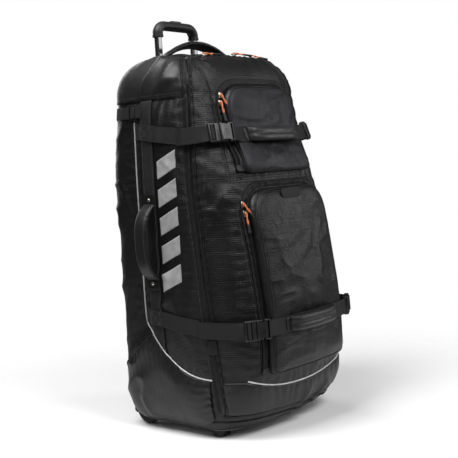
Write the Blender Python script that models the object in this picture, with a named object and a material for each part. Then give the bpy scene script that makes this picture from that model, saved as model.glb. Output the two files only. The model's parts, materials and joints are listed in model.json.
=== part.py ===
"""Wheeled upright hockey equipment bag: a soft tub with a zipped front flap, two zipped pockets,
four compression straps, a telescoping trolley handle and two rear wheels.

Metres, +Z up. The bag stands on its wheels and feet at z = 0 and its front faces -Y.
Shapes are drawn in the bag's own frame, which the empty "bag_frame" shifts along Y so that
the world origin is under the middle of the whole object.
"""

import math

import bmesh
import bpy
from mathutils import Vector

# Overall sizes
BODY_WIDTH = 0.450
BODY_TOP = 0.890  # height of the crown above the floor
BACK_DEPTH = 0.205  # from the bag frame's Y = 0 to the back face
FRONT_DEPTH = 0.196  # from the bag frame's Y = 0 to the deepest point of the flap
FRAME_SHIFT = 0.02345  # places the world origin under the middle of the depth
GROUND_GAP = 0.025  # floor to the fabric bottom
GAP = 0.0004  # clearance between pieces that touch
SLIDE_GAP = 0.0005  # running clearance of tubes, axles and buttons

# Soft body
WALL = 0.006
CAP_HEIGHT = 0.085  # rounded top above the shoulders
CROWN_RISE = 0.014
RIM_LEAD = 0.012  # the flap's zipper lies this far in front of the side panel's edge
HINGE_HEIGHT = 0.060  # bottom edge of the flap
FLAP_LIP = 0.0015  # hinge axis in front of the flap's bottom edge

# Pockets on the flap
UPPER_POCKET_MARGIN = 0.099  # from the side of the body
UPPER_POCKET_DROP = 0.073  # from the body's top
UPPER_POCKET_HEIGHT = 0.205
UPPER_POCKET_DEPTH = 0.020
LOWER_POCKET_MARGIN = 0.083
LOWER_POCKET_BOTTOM = 0.150
POCKET_SPLIT = 0.037  # from the lower pocket's top to the upper one's bottom
LOWER_POCKET_DEPTH = 0.026
POCKET_WALL = 0.003
UPPER_POCKET_WIDTH = BODY_WIDTH - 2 * UPPER_POCKET_MARGIN
UPPER_POCKET_BOTTOM = BODY_TOP - UPPER_POCKET_DROP - UPPER_POCKET_HEIGHT
LOWER_POCKET_WIDTH = BODY_WIDTH - 2 * LOWER_POCKET_MARGIN
LOWER_POCKET_HEIGHT = UPPER_POCKET_BOTTOM - POCKET_SPLIT - LOWER_POCKET_BOTTOM
POCKET_STAND = 0.0036  # the lids' rims stand this far off the flap, over the zips

# Webbing, buckles and carrying handles
WEB_WIDTH = 0.038
WEB_THICK = 0.0022
UPPER_STRAP_Z = BODY_TOP - 0.187
LOWER_STRAP_Z = 0.262
STRAP_SLOPE = 0.15  # the side straps rise towards the back
STRAP_REAR_Y = 0.100
WEB_REAR_Y = 0.064  # centre of the vertical side webbing
UPPER_BUCKLE_X = BODY_WIDTH / 2 - 0.065
LOWER_BUCKLE_X = BODY_WIDTH / 2 - 0.049
UPPER_BUCKLE_STAND = 0.014  # behind the buckles, over the edge of the pocket
LOWER_BUCKLE_STAND = 0.019
BUCKLE_WIDTH = WEB_WIDTH + 0.008
BUCKLE_THICK = 0.013
FEMALE_LENGTH = 0.034
MALE_LENGTH = 0.028
BUCKLE_TRAVEL = 0.030
FRONT_GRIP_LENGTH = UPPER_POCKET_WIDTH - 0.072
FRONT_GRIP_STAND = 0.014  # finger gap behind the padded front grips
FRONT_GRIP_THICK = 0.012
SIDE_GRIP_LENGTH = 0.178
SIDE_GRIP_STAND = 0.036
SIDE_GRIP_Z = (UPPER_STRAP_Z + LOWER_STRAP_Z) / 2 - 0.0195
SIDE_GRIP_THICK = 0.013
TOP_GRIP_SPAN = BODY_WIDTH - 0.200
TOP_GRIP_Y = BACK_DEPTH - 0.109
TOP_GRIP_STAND = 0.042
TOP_GRIP_THICK = 0.012
REAR_STRAP_Z = BODY_TOP - 0.120
REAR_SLIDER_Y = BACK_DEPTH - 0.099
REAR_STRAP_WIDTH = 0.030
GUARD_THICK = 0.004
GUARD_REAR_Y = BACK_DEPTH - 0.053
PIPING_RADIUS = 0.0021
PIPING_STEPS = 18
PIPING_REAR_Y = BACK_DEPTH - 0.097
PULL_LENGTH = 0.046
PULL_RADIUS = 0.0026

# Trolley
TROLLEY_Y = BACK_DEPTH - 0.045
TUBE_SPACING = 0.134
INNER_TUBE = (0.0175, 0.0135)
TUBE_WALL = 0.0012
TUBE_LENGTH = 0.500
GRIP_TOP = BODY_TOP + 0.118
GRIP_BAR = 0.024
GRIP_LEG = 0.042
GRIP_BEND = 0.022
TROLLEY_RAISED = 0.085  # how far the grip stands above its closed place
BUTTON_LENGTH = 0.034
BUTTON_TRAVEL = 0.003
BEZEL_HEIGHT = 0.046
BOARD_THICK = 0.004

# Wheels and feet
WHEEL_RADIUS = 0.036
WHEEL_WIDTH = 0.026
WHEEL_X = BODY_WIDTH / 2 - 0.049
WHEEL_Y = BACK_DEPTH - 0.037
HUB_RADIUS = 0.022
AXLE_RADIUS = 0.003
HOUSING_WALL = 0.007
WHEEL_ROOM = 0.004  # gap between wheel and housing
FOOT_X = BODY_WIDTH / 2 - 0.053
FOOT_Y = -0.062
FOOT_SIZE = (0.034, 0.030)

# Section of the soft body at each share of its straight height: side inset and back inset in metres,
# edge of the side panel, front corner's inset from the side, corner depth and middle depth as
# shares of FRONT_DEPTH
STATIONS = (
    (0.000, 0.026, 0.018, 0.436, 0.056, 0.640, 0.690),
    (0.045, 0.010, 0.004, 0.477, 0.040, 0.810, 0.880),
    (0.123, 0.003, 0.000, 0.462, 0.037, 0.905, 0.975),
    (0.303, 0.000, 0.000, 0.400, 0.037, 0.925, 1.000),
    (0.484, 0.000, 0.002, 0.328, 0.042, 0.850, 0.930),
    (0.652, 0.000, 0.004, 0.267, 0.050, 0.755, 0.825),
    (0.742, 0.001, 0.006, 0.236, 0.055, 0.685, 0.745),
    (0.897, 0.003, 0.012, 0.215, 0.063, 0.485, 0.520),
    (1.000, 0.007, 0.022, 0.185, 0.073, 0.410, 0.455),
)
BACK_RADIUS, SIDE_RADIUS, FRONT_RADIUS = 0.050, 0.022, 0.045
CAP_SIDE, CAP_BACK, CAP_FRONT, CAP_EDGE = 0.048, 0.080, 0.050, 0.045

SHOULDER = BODY_TOP - CAP_HEIGHT
TRUNK = SHOULDER - GROUND_GAP

MATERIALS = {
    "ripstop": ((0.020, 0.020, 0.023), 0.55, 0.0),
    "twill": ((0.030, 0.031, 0.036), 0.50, 0.0),
    "coated_fabric": ((0.055, 0.055, 0.060), 0.45, 0.0),
    "webbing": ((0.016, 0.016, 0.017), 0.70, 0.0),
    "black_plastic": ((0.014, 0.014, 0.015), 0.38, 0.0),
    "gloss_tube": ((0.010, 0.010, 0.011), 0.12, 0.3),
    "reflective_piping": ((0.560, 0.570, 0.580), 0.35, 0.2),
    "tyre_rubber": ((0.020, 0.020, 0.020), 0.80, 0.0),
    "steel": ((0.550, 0.550, 0.560), 0.30, 1.0),
    "board": ((0.045, 0.045, 0.048), 0.60, 0.0),
    "orange_pull": ((0.850, 0.300, 0.070), 0.55, 0.0),
}


# Scene helpers

def clear_scene():
    for obj in list(bpy.data.objects):
        bpy.data.objects.remove(obj, do_unlink=True)


def material(name):
    made = bpy.data.materials.get(name)
    if made is None:
        colour, roughness, metallic = MATERIALS[name]
        made = bpy.data.materials.new(name)
        made.use_nodes = True
        shader = made.node_tree.nodes["Principled BSDF"]
        shader.inputs["Base Color"].default_value = (*colour, 1.0)
        shader.inputs["Roughness"].default_value = roughness
        shader.inputs["Metallic"].default_value = metallic
    return made


def add_object(name, mesh_source, finish, pivot=(0, 0, 0), parent=None):
    """An object from a bmesh drawn in the bag's frame, with its origin at the pivot."""
    mesh_source.normal_update()
    bmesh.ops.recalc_face_normals(mesh_source, faces=mesh_source.faces[:])
    if mesh_source.calc_volume(signed=True) < 0:
        bmesh.ops.reverse_faces(mesh_source, faces=mesh_source.faces[:])
    bmesh.ops.translate(mesh_source, vec=-Vector(pivot), verts=mesh_source.verts[:])
    mesh = bpy.data.meshes.new(name)
    mesh_source.to_mesh(mesh)
    mesh_source.free()
    mesh.shade_smooth()
    mesh.set_sharp_from_angle(angle=math.radians(35))
    obj = bpy.data.objects.new(name, mesh)
    bpy.context.scene.collection.objects.link(obj)
    obj.data.materials.append(material(finish))
    obj.location = pivot
    obj.parent = parent or bpy.data.objects["bag_frame"]
    if parent:
        obj.location = Vector(pivot) - pivot_of(parent)
    return obj


def pivot_of(obj):
    """Where the object's origin is in the bag's frame."""
    total = Vector((0, 0, 0))
    while obj.name != "bag_frame":
        total += obj.location
        obj = obj.parent
    return total


def cutter(name, mesh_source):
    obj = add_object(name, mesh_source, "board")
    obj.hide_render = True
    obj.display_type = "WIRE"
    return obj


def boolean(obj, other, operation="DIFFERENCE"):
    cut = obj.modifiers.new(other.name, "BOOLEAN")
    cut.operation = operation
    cut.solver = "EXACT"
    cut.object = other
    return cut


def bevel(obj, width, segments=1, angle=40):
    """Rounds the object's sharper edges."""
    edge = obj.modifiers.new("rounded_edges", "BEVEL")
    edge.width = width
    edge.segments = segments
    edge.limit_method = "ANGLE"
    edge.angle_limit = math.radians(angle)
    return edge


# Shape helpers

def loft(rings, close_ends=True):
    """A bmesh through closed rings that have the same number of points."""
    bm = bmesh.new()
    loops = [[bm.verts.new(point) for point in ring] for ring in rings]
    count = len(rings[0])
    for low, high in zip(loops, loops[1:]):
        for i in range(count):
            j = (i + 1) % count
            bm.faces.new((low[i], low[j], high[j], high[i]))
    if close_ends:
        bm.faces.new(loops[0][::-1])
        bm.faces.new(loops[-1])
    return bm


def box_mesh(low, high):
    bm = bmesh.new()
    bmesh.ops.create_cube(bm, size=1.0)
    for vert in bm.verts:
        vert.co = [a + (b - a) * (c + 0.5) for a, b, c in zip(low, high, vert.co)]
    return bm


def turned(profile, centre, sides=24):
    """A solid of revolution about the X axis through the centre: profile is (x, radius) pairs."""
    rings = []
    for x, radius in profile:
        ring = []
        for i in range(sides):
            turn = 2 * math.pi * i / sides
            ring.append((centre[0] + x, centre[1] + radius * math.cos(turn),
                         centre[2] + radius * math.sin(turn)))
        rings.append(ring)
    return rings


def ring_solid(profile, centre, sides=24):
    """A turned ring with a hole: the profile is a closed outline of (x, radius) pairs."""
    rings = turned(profile, centre, sides)
    bm = bmesh.new()
    loops = [[bm.verts.new(point) for point in ring] for ring in rings]
    for a, b in zip(loops, loops[1:] + loops[:1]):
        for i in range(sides):
            j = (i + 1) % sides
            bm.faces.new((a[i], a[j], b[j], b[i]))
    return bm


def ribbon(frames, width, thick):
    """A strap of rectangular section along frames of (point on its inner face, outward, across)."""
    rings = []
    for point, out, across in frames:
        half = across.normalized() * (width / 2)
        lift = out.normalized() * thick
        rings.append((point + half, point + half + lift, point - half + lift, point - half))
    return loft(rings)


def pad(frames, width, thick, sides=8):
    """A padded strap: like a ribbon, with a rounded section."""
    rings = []
    for point, out, across in frames:
        out, across = out.normalized(), across.normalized()
        ring = []
        for i in range(sides):
            turn = 2 * math.pi * (i + 0.5) / sides
            ring.append(point + across * (width / 2 * math.cos(turn))
                        + out * (thick / 2 + thick / 2 * math.sin(turn)))
        rings.append(ring)
    return loft(rings)


def tube_between(points, radius, sides=6):
    """A round cord through points that don't close."""
    rings = []
    for i, point in enumerate(points):
        along = (points[min(i + 1, len(points) - 1)] - points[max(i - 1, 0)]).normalized()
        side = along.cross(Vector((0.3, 0.4, 0.86))).normalized()
        up = along.cross(side)
        ring = []
        for k in range(sides):
            turn = 2 * math.pi * k / sides
            ring.append(point + side * (radius * math.cos(turn)) + up * (radius * math.sin(turn)))
        rings.append(ring)
    return loft(rings)


def mirrored(points, side):
    return [Vector((p.x * side, p.y, p.z)) for p in points]


def tagged(name, side):
    return f"{name}_{'left' if side < 0 else 'right'}"


# Form of the soft body

def section(z, inset=0.0):
    """(half width, back, side edge, corner x, corner y, middle y) of the body at height z."""
    share = min(max((z - GROUND_GAP) / TRUNK, 0.0), 1.0)
    for low, high in zip(STATIONS, STATIONS[1:]):
        if share <= high[0]:
            break
    t = (share - low[0]) / (high[0] - low[0])
    side, back, edge, corner, corner_depth, middle = (
        a + (b - a) * t for a, b in zip(low[1:], high[1:]))
    rise = min(max((z - SHOULDER) / (CAP_HEIGHT - inset), 0.0), 1.0)
    turn_in = 1 - math.sqrt(1 - rise * rise)
    half = BODY_WIDTH / 2 - side - CAP_SIDE * turn_in - inset
    return (
        half,
        BACK_DEPTH - back - CAP_BACK * turn_in - inset,
        -edge * FRONT_DEPTH + CAP_EDGE * turn_in,
        half - corner,
        -corner_depth * FRONT_DEPTH + CAP_FRONT * turn_in + inset,
        -middle * FRONT_DEPTH + CAP_FRONT * turn_in + inset,
    )


def line(a, b, count):
    """Points after a, up to b."""
    return [a + (b - a) * (i + 1) / count for i in range(count)]


def rounded(before, corner, after, radius, count):
    """Points round a corner, from a line's end to the next line's start."""
    start = corner + (before - corner).normalized() * radius
    end = corner + (after - corner).normalized() * radius
    points = []
    for i in range(count + 1):
        t = i / count
        points.append(start * (1 - t) ** 2 + corner * (2 * t * (1 - t)) + end * t * t)
    return points


def half_ring(z, inset=0.0):
    """The body's outline at height z, on the +X side, from the back's middle to the front's."""
    half, back, edge, corner_x, corner_y, middle_y = section(z, inset)
    back_mid = Vector((0, back, z))
    back_corner = Vector((half, back, z))
    side_edge = Vector((half, edge, z))
    front_corner = Vector((corner_x, corner_y, z))
    front_mid = Vector((0, middle_y, z))
    shrink = 1 - inset / BACK_RADIUS
    b = rounded(back_mid, back_corner, side_edge, BACK_RADIUS * shrink, 4)
    c = rounded(back_corner, side_edge, front_corner, SIDE_RADIUS * shrink, 2)
    d = rounded(side_edge, front_corner, front_mid, FRONT_RADIUS * shrink, 4)
    return ([back_mid] + line(back_mid, b[0], 2)[:-1] + b + line(b[-1], c[0], 4)[:-1] + c
            + line(c[-1], d[0], 2)[:-1] + d + line(d[-1], front_mid, 3))



def full_ring(z, inset=0.0, shrink=1.0):
    half = half_ring(z, inset)
    ring = half + [Vector((-p.x, p.y, p.z)) for p in reversed(half[1:-1])]
    middle = Vector((0, (half[0].y + half[-1].y) / 2, z))
    return [middle + (p - middle) * shrink for p in ring]


def body_levels(inset):
    levels = [GROUND_GAP + inset]
    levels += [GROUND_GAP + TRUNK * row[0] for row in STATIONS[1:]]
    levels += [SHOULDER + (CAP_HEIGHT - inset) * math.sin(math.radians(a)) for a in (28, 52, 72, 90)]
    return levels


def body_loft(inset=0.0):
    """The whole body as one closed form, made smaller by the inset on every side."""
    rings = [full_ring(z, inset) for z in body_levels(inset)]
    bottom = [p.copy() for p in full_ring(GROUND_GAP + inset, inset, 0.88)]
    rings.insert(0, [Vector((p.x, p.y, GROUND_GAP - 0.004 + inset)) for p in bottom])
    top = body_levels(inset)[-1]
    for shrink, rise in ((0.72, 0.62), (0.36, 0.94)):
        rings.append([Vector((p.x, p.y, top + CROWN_RISE * rise))
                      for p in full_ring(top, inset, shrink)])
    return loft(rings)


def side_point(y, z):
    """(point, outward) on the body's right side panel, back corner included, at depth y."""
    return on_outline(z, lambda a, b: (a.y - y) * (b.y - y) <= 0 and a.y != b.y and b.x > 0.1,
                      lambda a, b: (a.y - y) / (a.y - b.y))


def front_point(x, z):
    """(point, outward) on the body's front at distance x from the middle."""
    return on_outline(z, lambda a, b: b.y < 0 and a.x >= x >= b.x and a.x > b.x,
                      lambda a, b: (a.x - x) / (a.x - b.x))


def on_outline(z, holds, share):
    points = half_ring(z)
    for a, b in zip(points, points[1:]):
        if holds(a, b):
            along = (b - a).normalized()
            flat = Vector((-along.y, along.x, 0))
            outward = flat if flat.dot(a - Vector((0, 0.05, z))) > 0 else -flat
            return a.lerp(b, share(a, b)), outward
    raise ValueError("no such place on the outline")


def slope_out(getter, at, z):
    """Outward direction of the body's surface, with its lean, at (at, z)."""
    step = 0.004
    low, _ = getter(at, z - step)
    high, _ = getter(at, z + step)
    _, outward = getter(at, z)
    up = (high - low).normalized()
    return (outward - up * outward.dot(up)).normalized()


def rim_y(z):
    return section(z)[2] - RIM_LEAD


def strap_height(z, y):
    """Height of a side strap's middle at depth y."""
    return z + STRAP_SLOPE * (y - section(z)[2])


# Soft body and flap

def flap_region(name, shift):
    """The prism in front of the opening's rim, moved into the flap by the shift."""
    heights = [HINGE_HEIGHT] + body_levels(0.0)[3:-1] + [BODY_TOP - 0.0005]
    outline = [Vector((0, rim_y(z) - shift, z)) for z in heights]
    outline[0].z += shift
    outline += [Vector((0, rim_y(BODY_TOP) + 0.02 - shift, BODY_TOP + 0.04)),
                Vector((0, -FRONT_DEPTH * 2, BODY_TOP + 0.04)),
                Vector((0, -FRONT_DEPTH * 2, HINGE_HEIGHT + shift))]
    rings = [[p + Vector((x, 0, 0)) for p in outline] for x in (-BODY_WIDTH, BODY_WIDTH)]
    return cutter(name, loft(rings))


def hinge_y():
    return section(HINGE_HEIGHT)[5] - FLAP_LIP


def make_body(trolley_slot, wheel_slots):
    hollow = cutter("body_hollow", body_loft(WALL))
    shell = add_object("main_shell", body_loft(), "ripstop")
    boolean(shell, hollow)
    boolean(shell, flap_region("front_opening", 0.0))
    for slot in [trolley_slot, *wheel_slots]:
        boolean(shell, slot)

    flap = add_object("front_flap", body_loft(), "ripstop", (0, hinge_y(), HINGE_HEIGHT))
    boolean(flap, hollow)
    boolean(flap, flap_region("flap_edge", GAP * 1.5), "INTERSECT")
    return flap


def pocket_outline(width, bottom, height, count=28):
    """A dome: straight sides, square bottom corners and well rounded top corners."""
    low, high, half = bottom, bottom + height, width / 2
    top_radius, low_radius = width * 0.24, width * 0.06
    corners = ((half, low, low_radius), (half, high, top_radius),
               (-half, high, top_radius), (-half, low, low_radius))
    points = []
    for i, (x, z, radius) in enumerate(corners):
        before, after = corners[i - 1], corners[(i + 1) % 4]
        points += rounded(Vector((before[0], 0, before[1])), Vector((x, 0, z)),
                          Vector((after[0], 0, after[1])), radius, count // 7)
        points += line(points[-1], Vector((after[0], 0, after[1]))
                       + Vector((x - after[0], 0, z - after[1])).normalized() * after[2], 3)[:-1]
    return points


def on_flap(x, z, out):
    """The point at (x, z) that stands this far in front of the flap's face."""
    point, _ = front_point(abs(x), z)
    return Vector((x, point.y - out, z))


def make_pocket(name, width, bottom, height, depth, finish, parent):
    """A dished lid, open towards the flap, that turns on its bottom edge."""
    outline = pocket_outline(width, bottom, height)
    centre = Vector((0, 0, bottom + height * 0.5))

    def layer(share, out):
        return [on_flap(*(centre + (p - centre) * share).xz, out) for p in outline]

    wall = POCKET_WALL
    inner = 1 - wall / (width / 2)
    rings = [
        layer(1.0, POCKET_STAND), layer(1.0, depth * 0.60), layer(0.965, depth * 0.90),
        layer(0.87, depth), layer(0.45, depth),
    ]
    bm = bmesh.new()
    outer = [[bm.verts.new(p) for p in ring] for ring in rings]
    rings = [
        layer(inner, POCKET_STAND), layer(inner, depth * 0.60 - wall * 0.5),
        layer(inner * 0.965, depth * 0.90 - wall), layer(0.87, depth - wall), layer(0.45, depth - wall),
    ]
    inside = [[bm.verts.new(p) for p in ring] for ring in rings]
    for loops in (outer, inside):
        for a, b in zip(loops, loops[1:]):
            join_loops(bm, a, b)
        out = depth if loops is outer else depth - wall
        tip = bm.verts.new(on_flap(0, centre.z, out))
        last = loops[-1]
        for i, vert in enumerate(last):
            bm.faces.new((vert, last[(i + 1) % len(last)], tip))
    join_loops(bm, outer[0], inside[0])
    pivot = Vector((0, on_flap(0, bottom, 0).y - GAP, bottom - GAP))
    return add_object(name, bm, finish, pivot, parent)


def join_loops(bm, a, b):
    for i in range(len(a)):
        j = (i + 1) % len(a)
        bm.faces.new((a[i], a[j], b[j], b[i]))


# Straps, buckles and grips

def side_frames(z, y_from, y_to, count, lift):
    """Frames of a strap that runs forwards round the right side panel."""
    frames = []
    for i in range(count + 1):
        y = y_from + (y_to - y_from) * i / count
        height = strap_height(z, y)
        point, _ = side_point(y, height)
        outward = slope_out(side_point, y, height)
        frames.append((point + outward * lift, outward, Vector((0, 0, 1))))
    return frames


def flip(frames, side):
    """The frames on the wanted side of the bag."""
    return [tuple(Vector((v.x * side, v.y, v.z)) for v in frame) for frame in frames]


def make_side_harness(side):
    """The vertical webbing on a side panel, with the two straps that are sewn across it."""
    top = REAR_STRAP_Z + 0.024
    bottom = piping_z(WEB_REAR_Y + WEB_WIDTH / 2) + PIPING_RADIUS * 3
    lift = GAP
    frames = []
    for i in range(13):
        z = bottom + (top - bottom) * i / 12
        point, _ = side_point(WEB_REAR_Y, z)
        frames.append((point + Vector((lift, 0, 0)), Vector((1, 0, 0)), Vector((0, 1, 0))))
    harness = add_object(tagged("side_webbing", side), ribbon(flip(frames, side), WEB_WIDTH, WEB_THICK),
                         "webbing")
    for name, z in (("upper", UPPER_STRAP_Z), ("lower", LOWER_STRAP_Z)):
        front = section(z)[2] + SIDE_RADIUS * 0.75
        frames = side_frames(z, STRAP_REAR_Y, front, 4, lift + WEB_THICK * 0.5)
        sewn = cutter(tagged(f"sewn_{name}_strap", side),
                      ribbon(flip(frames, side), WEB_WIDTH, WEB_THICK))
        boolean(harness, sewn, "UNION")


def buckle_place(z, x):
    """(point on the body, along towards the middle, outward, up the slope) of a right-hand buckle."""
    point, flat_out = front_point(x, z)
    along = Vector((flat_out.y, -flat_out.x, 0))
    along = along if along.x < 0 else -along
    outward = slope_out(front_point, x, z)
    outward = (outward - along * outward.dot(along)).normalized()
    return point, along, outward, outward.cross(along) * (1 if outward.cross(along).z > 0 else -1)


def face_frame(x, z, out):
    """(point, outward, up the slope) at a distance in front of the flap's face."""
    low, high = on_flap(x, z - WEB_WIDTH / 2, out), on_flap(x, z + WEB_WIDTH / 2, out)
    up = (high - low).normalized()
    outward = Vector((1, 0, 0)).cross(up)
    return low.lerp(high, 0.5), outward if outward.y < 0 else -outward, up


def make_free_strap(name, side, z, buckle_x, lift):
    """The webbing that runs from the side panel over the corner gusset into the buckle."""
    edge = section(z)[2]
    height = strap_height(z, edge)
    start, _ = side_point(edge + SIDE_RADIUS * 0.62, height)
    point, along, outward, across = buckle_place(z, buckle_x)
    tail = point + outward * (lift + 0.004) - along * (MALE_LENGTH + 0.0012)
    corner = Vector((start.x + 0.0045, edge - 0.004, (height + z) / 2))
    mid_out = Vector((0.75, -0.66, 0))
    middle = corner.lerp(tail, 0.5) + mid_out * 0.004
    frames = [
        (start + Vector((GAP + WEB_THICK * 0.5, 0, 0)), Vector((1, 0, 0)), Vector((0, 0, 1))),
        (corner, Vector((0.9, -0.4, 0)), Vector((0, 0, 1))),
        (middle, mid_out, Vector((0, 0, 1)).lerp(across, 0.6)),
        (tail, outward, across),
    ]
    add_object(tagged(name, side), ribbon(flip(frames, side), WEB_WIDTH, WEB_THICK), "webbing")


def bar(origin, axes, low, high):
    """A box whose edges run along the three axes, from an origin."""
    bm = box_mesh(low, high)
    for vert in bm.verts:
        vert.co = origin + axes[0] * vert.co.x + axes[1] * vert.co.y + axes[2] * vert.co.z
    return bm


def make_buckle(name, side, z, buckle_x, lift, parent):
    """A side-release buckle: the female half towards the middle, the male half outside it."""
    point, *axes = buckle_place(z, buckle_x)
    axes = along, outward, _ = mirrored(axes, side)
    origin = Vector((point.x * side, point.y, z)) + outward * lift
    half, thick = BUCKLE_WIDTH / 2, BUCKLE_THICK
    female = add_object(tagged(f"{name}_female", side),
                        bar(origin, axes, (0, 0, -half), (FEMALE_LENGTH, thick, half)),
                        "black_plastic", origin, parent)
    socket = cutter(tagged(f"{name}_socket", side),
                    bar(origin, axes, (-0.01, 0.0030, -half + 0.004), (0.024, thick - 0.0030, half - 0.004)))
    slot = cutter(tagged(f"{name}_loop", side),
                  bar(origin, axes, (0.0265, -0.01, -half + 0.0035), (0.0305, thick + 0.01, half - 0.0035)))
    boolean(female, socket)
    boolean(female, slot)

    male = add_object(tagged(f"{name}_male", side),
                      bar(origin, axes, (-MALE_LENGTH, 0, -half), (-GAP, thick * 0.9, half)),
                      "black_plastic", origin, parent)
    ladder = cutter(tagged(f"{name}_ladder", side),
                    bar(origin, axes, (-0.0245, -0.01, -half + 0.0035), (-0.0200, 0.03, half - 0.0035)))
    boolean(male, ladder)
    second = cutter(tagged(f"{name}_ladder_two", side),
                    bar(origin, axes, (-0.0165, -0.01, -half + 0.0035), (-0.0120, 0.03, half - 0.0035)))
    boolean(male, second)
    tongue = bar(origin, axes, (-0.006, 0.0042, -0.005), (0.021, thick - 0.0042, 0.005))
    for prong in (-1, 1):
        low, high = sorted((prong * (half - 0.0050), prong * (half - 0.0105)))
        extra = bar(origin, axes, (-0.006, 0.0042, low), (0.018, thick - 0.0042, high))
        made = cutter(tagged(f"{name}_prong_{'low' if prong < 0 else 'high'}", side), extra)
        boolean(male, made, "UNION")
    boolean(male, cutter(tagged(f"{name}_tongue", side), tongue), "UNION")


def make_front_straps(name, z, buckle_x, lift, lid_half, depth, parent):
    """The webbing across a pocket, with its padded grip and a buckle at each end."""
    point, along, outward, across = buckle_place(z, buckle_x)
    end = point + outward * (lift + 0.004) + along * (FEMALE_LENGTH + 0.001)
    right = [(end, outward, across)]
    right += [face_frame(lid_half * share, z, depth + 0.0018) for share in (0.95, 0.72, 0.36, 0.0)]
    frames = right + [tuple(Vector((-v.x, v.y, v.z)) for v in frame) for frame in right[-2::-1]]
    add_object(f"{name}_front_webbing", ribbon(frames, WEB_WIDTH, WEB_THICK), "webbing",
               parent=parent)

    frames = []
    half = FRONT_GRIP_LENGTH / 2
    base = depth + 0.0018 + WEB_THICK + GAP
    for i in range(11):
        t = -1 + 2 * i / 10
        stand = FRONT_GRIP_STAND * math.sqrt(max(1 - t ** 4, 0.0))
        slope = FRONT_GRIP_STAND * 2 * t ** 3 / half
        thick_share = 0.75 if abs(t) == 1 else 1.0
        point, outward, across = face_frame(t * half, z, base + stand + 0.0010)
        frames.append((point, outward * thick_share + Vector((slope, 0, 0)), across))
    add_object(f"{name}_front_grip", pad(frames, WEB_WIDTH * 0.86, FRONT_GRIP_THICK), "coated_fabric",
               parent=parent)


def make_side_grip(side):
    frames = []
    half = SIDE_GRIP_LENGTH / 2
    for i in range(13):
        t = -1 + 2 * i / 12
        z = SIDE_GRIP_Z + t * half
        point, _ = side_point(WEB_REAR_Y, z)
        stand = SIDE_GRIP_STAND * (1 - abs(t) ** 3.2)
        slope = SIDE_GRIP_STAND * 3.2 * abs(t) ** 2.2 * math.copysign(1, t) / half
        out = Vector((1, 0, min(max(slope, -1.1), 1.1)))
        frames.append((point + Vector((GAP + WEB_THICK + 0.0012 + stand, 0, 0)), out, Vector((0, 1, 0))))
    add_object(tagged("side_grip", side), pad(flip(frames, side), WEB_WIDTH, SIDE_GRIP_THICK),
               "coated_fabric")


def top_z(x, y):
    """Height of the body's top at (x, y): the highest level whose outline still holds the point."""
    low, high = SHOULDER, BODY_TOP
    for _ in range(24):
        z = (low + high) / 2
        half, back, _, _, _, _ = section(z)
        radius = BACK_RADIUS
        inside_corner = abs(x) < half - radius or y < back - radius
        low, high = (z, high) if abs(x) < half and y < back and inside_corner else (low, z)
    return low


def make_top_grip():
    frames = []
    half = TOP_GRIP_SPAN / 2
    for i in range(13):
        t = -1 + 2 * i / 12
        crown = BODY_TOP + CROWN_RISE * 0.62
        base = crown + (top_z(half, TOP_GRIP_Y) - BODY_TOP + 0.004) * t * t
        stand = TOP_GRIP_STAND * (1 - t * t)
        slope = 2 * TOP_GRIP_STAND * t / half
        out = Vector((slope, 0.0, 1))
        frames.append((Vector((t * half, TOP_GRIP_Y, base + stand)), out, Vector((0, 1, -0.35))))
    add_object("top_grip", pad(frames, WEB_WIDTH * 0.9, TOP_GRIP_THICK), "ripstop")


def make_rear_strap(side):
    """A short strap from the back edge to its ladder-lock, behind the upper strap."""
    frames = []
    for behind in (0.056, 0.047, 0.038, 0.027, 0.016):
        y = REAR_SLIDER_Y + behind
        point, _ = side_point(y, REAR_STRAP_Z)
        outward = slope_out(side_point, y, REAR_STRAP_Z)
        frames.append((point + outward * 0.0025, outward, Vector((0, 0, 1))))
    add_object(tagged("rear_strap", side), ribbon(flip(frames, side), REAR_STRAP_WIDTH, WEB_THICK),
               "webbing")
    point, _ = side_point(REAR_SLIDER_Y, REAR_STRAP_Z)
    origin = Vector((point.x + 0.0012, REAR_SLIDER_Y, REAR_STRAP_Z))
    axes = (Vector((0, 1, 0)), Vector((1, 0, 0)), Vector((0, 0, 1)))
    half = REAR_STRAP_WIDTH / 2 + 0.004
    frame = bar(origin, axes, (-0.0135, 0, -half), (0.0150, 0.007, half))
    for vert in frame.verts:
        vert.co.x *= side
    slider = add_object(tagged("rear_slider", side), frame, "black_plastic")
    for i, y in enumerate((-0.0095, 0.0025)):
        hole = bar(origin, axes, (y, -0.02, -half + 0.004), (y + 0.0085, 0.03, half - 0.004))
        for vert in hole.verts:
            vert.co.x *= side
        boolean(slider, cutter(tagged(f"rear_slider_slot_{i}", side), hole))


def piping_z(y):
    """Height of the reflective line on the side where it sweeps forwards over the guard."""
    rear, front = PIPING_REAR_Y - 0.008, section(0.16)[2] + 0.006
    t = min(max((rear - y) / (rear - front), 0.0), 1.0)
    return 0.262 - 0.118 * (1 - (1 - t) ** 2.4)


def make_side_piping(side):
    points = []
    for i in range(8):
        z = REAR_STRAP_Z - 0.022 - (REAR_STRAP_Z - 0.022 - 0.290) * i / 7
        points.append((PIPING_REAR_Y, z))
    front = section(0.16)[2] + 0.006
    for i in range(9):
        y = PIPING_REAR_Y - 0.004 + (front - PIPING_REAR_Y + 0.004) * (i / 8) ** 1.15
        points.append((y, piping_z(y)))
    path = []
    for y, z in points:
        point, outward = side_point(y, z)
        path.append(point + outward * (PIPING_RADIUS + GAP * 2))
    add_object(tagged("side_piping", side), tube_between(mirrored(path, side), PIPING_RADIUS),
               "reflective_piping")


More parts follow.
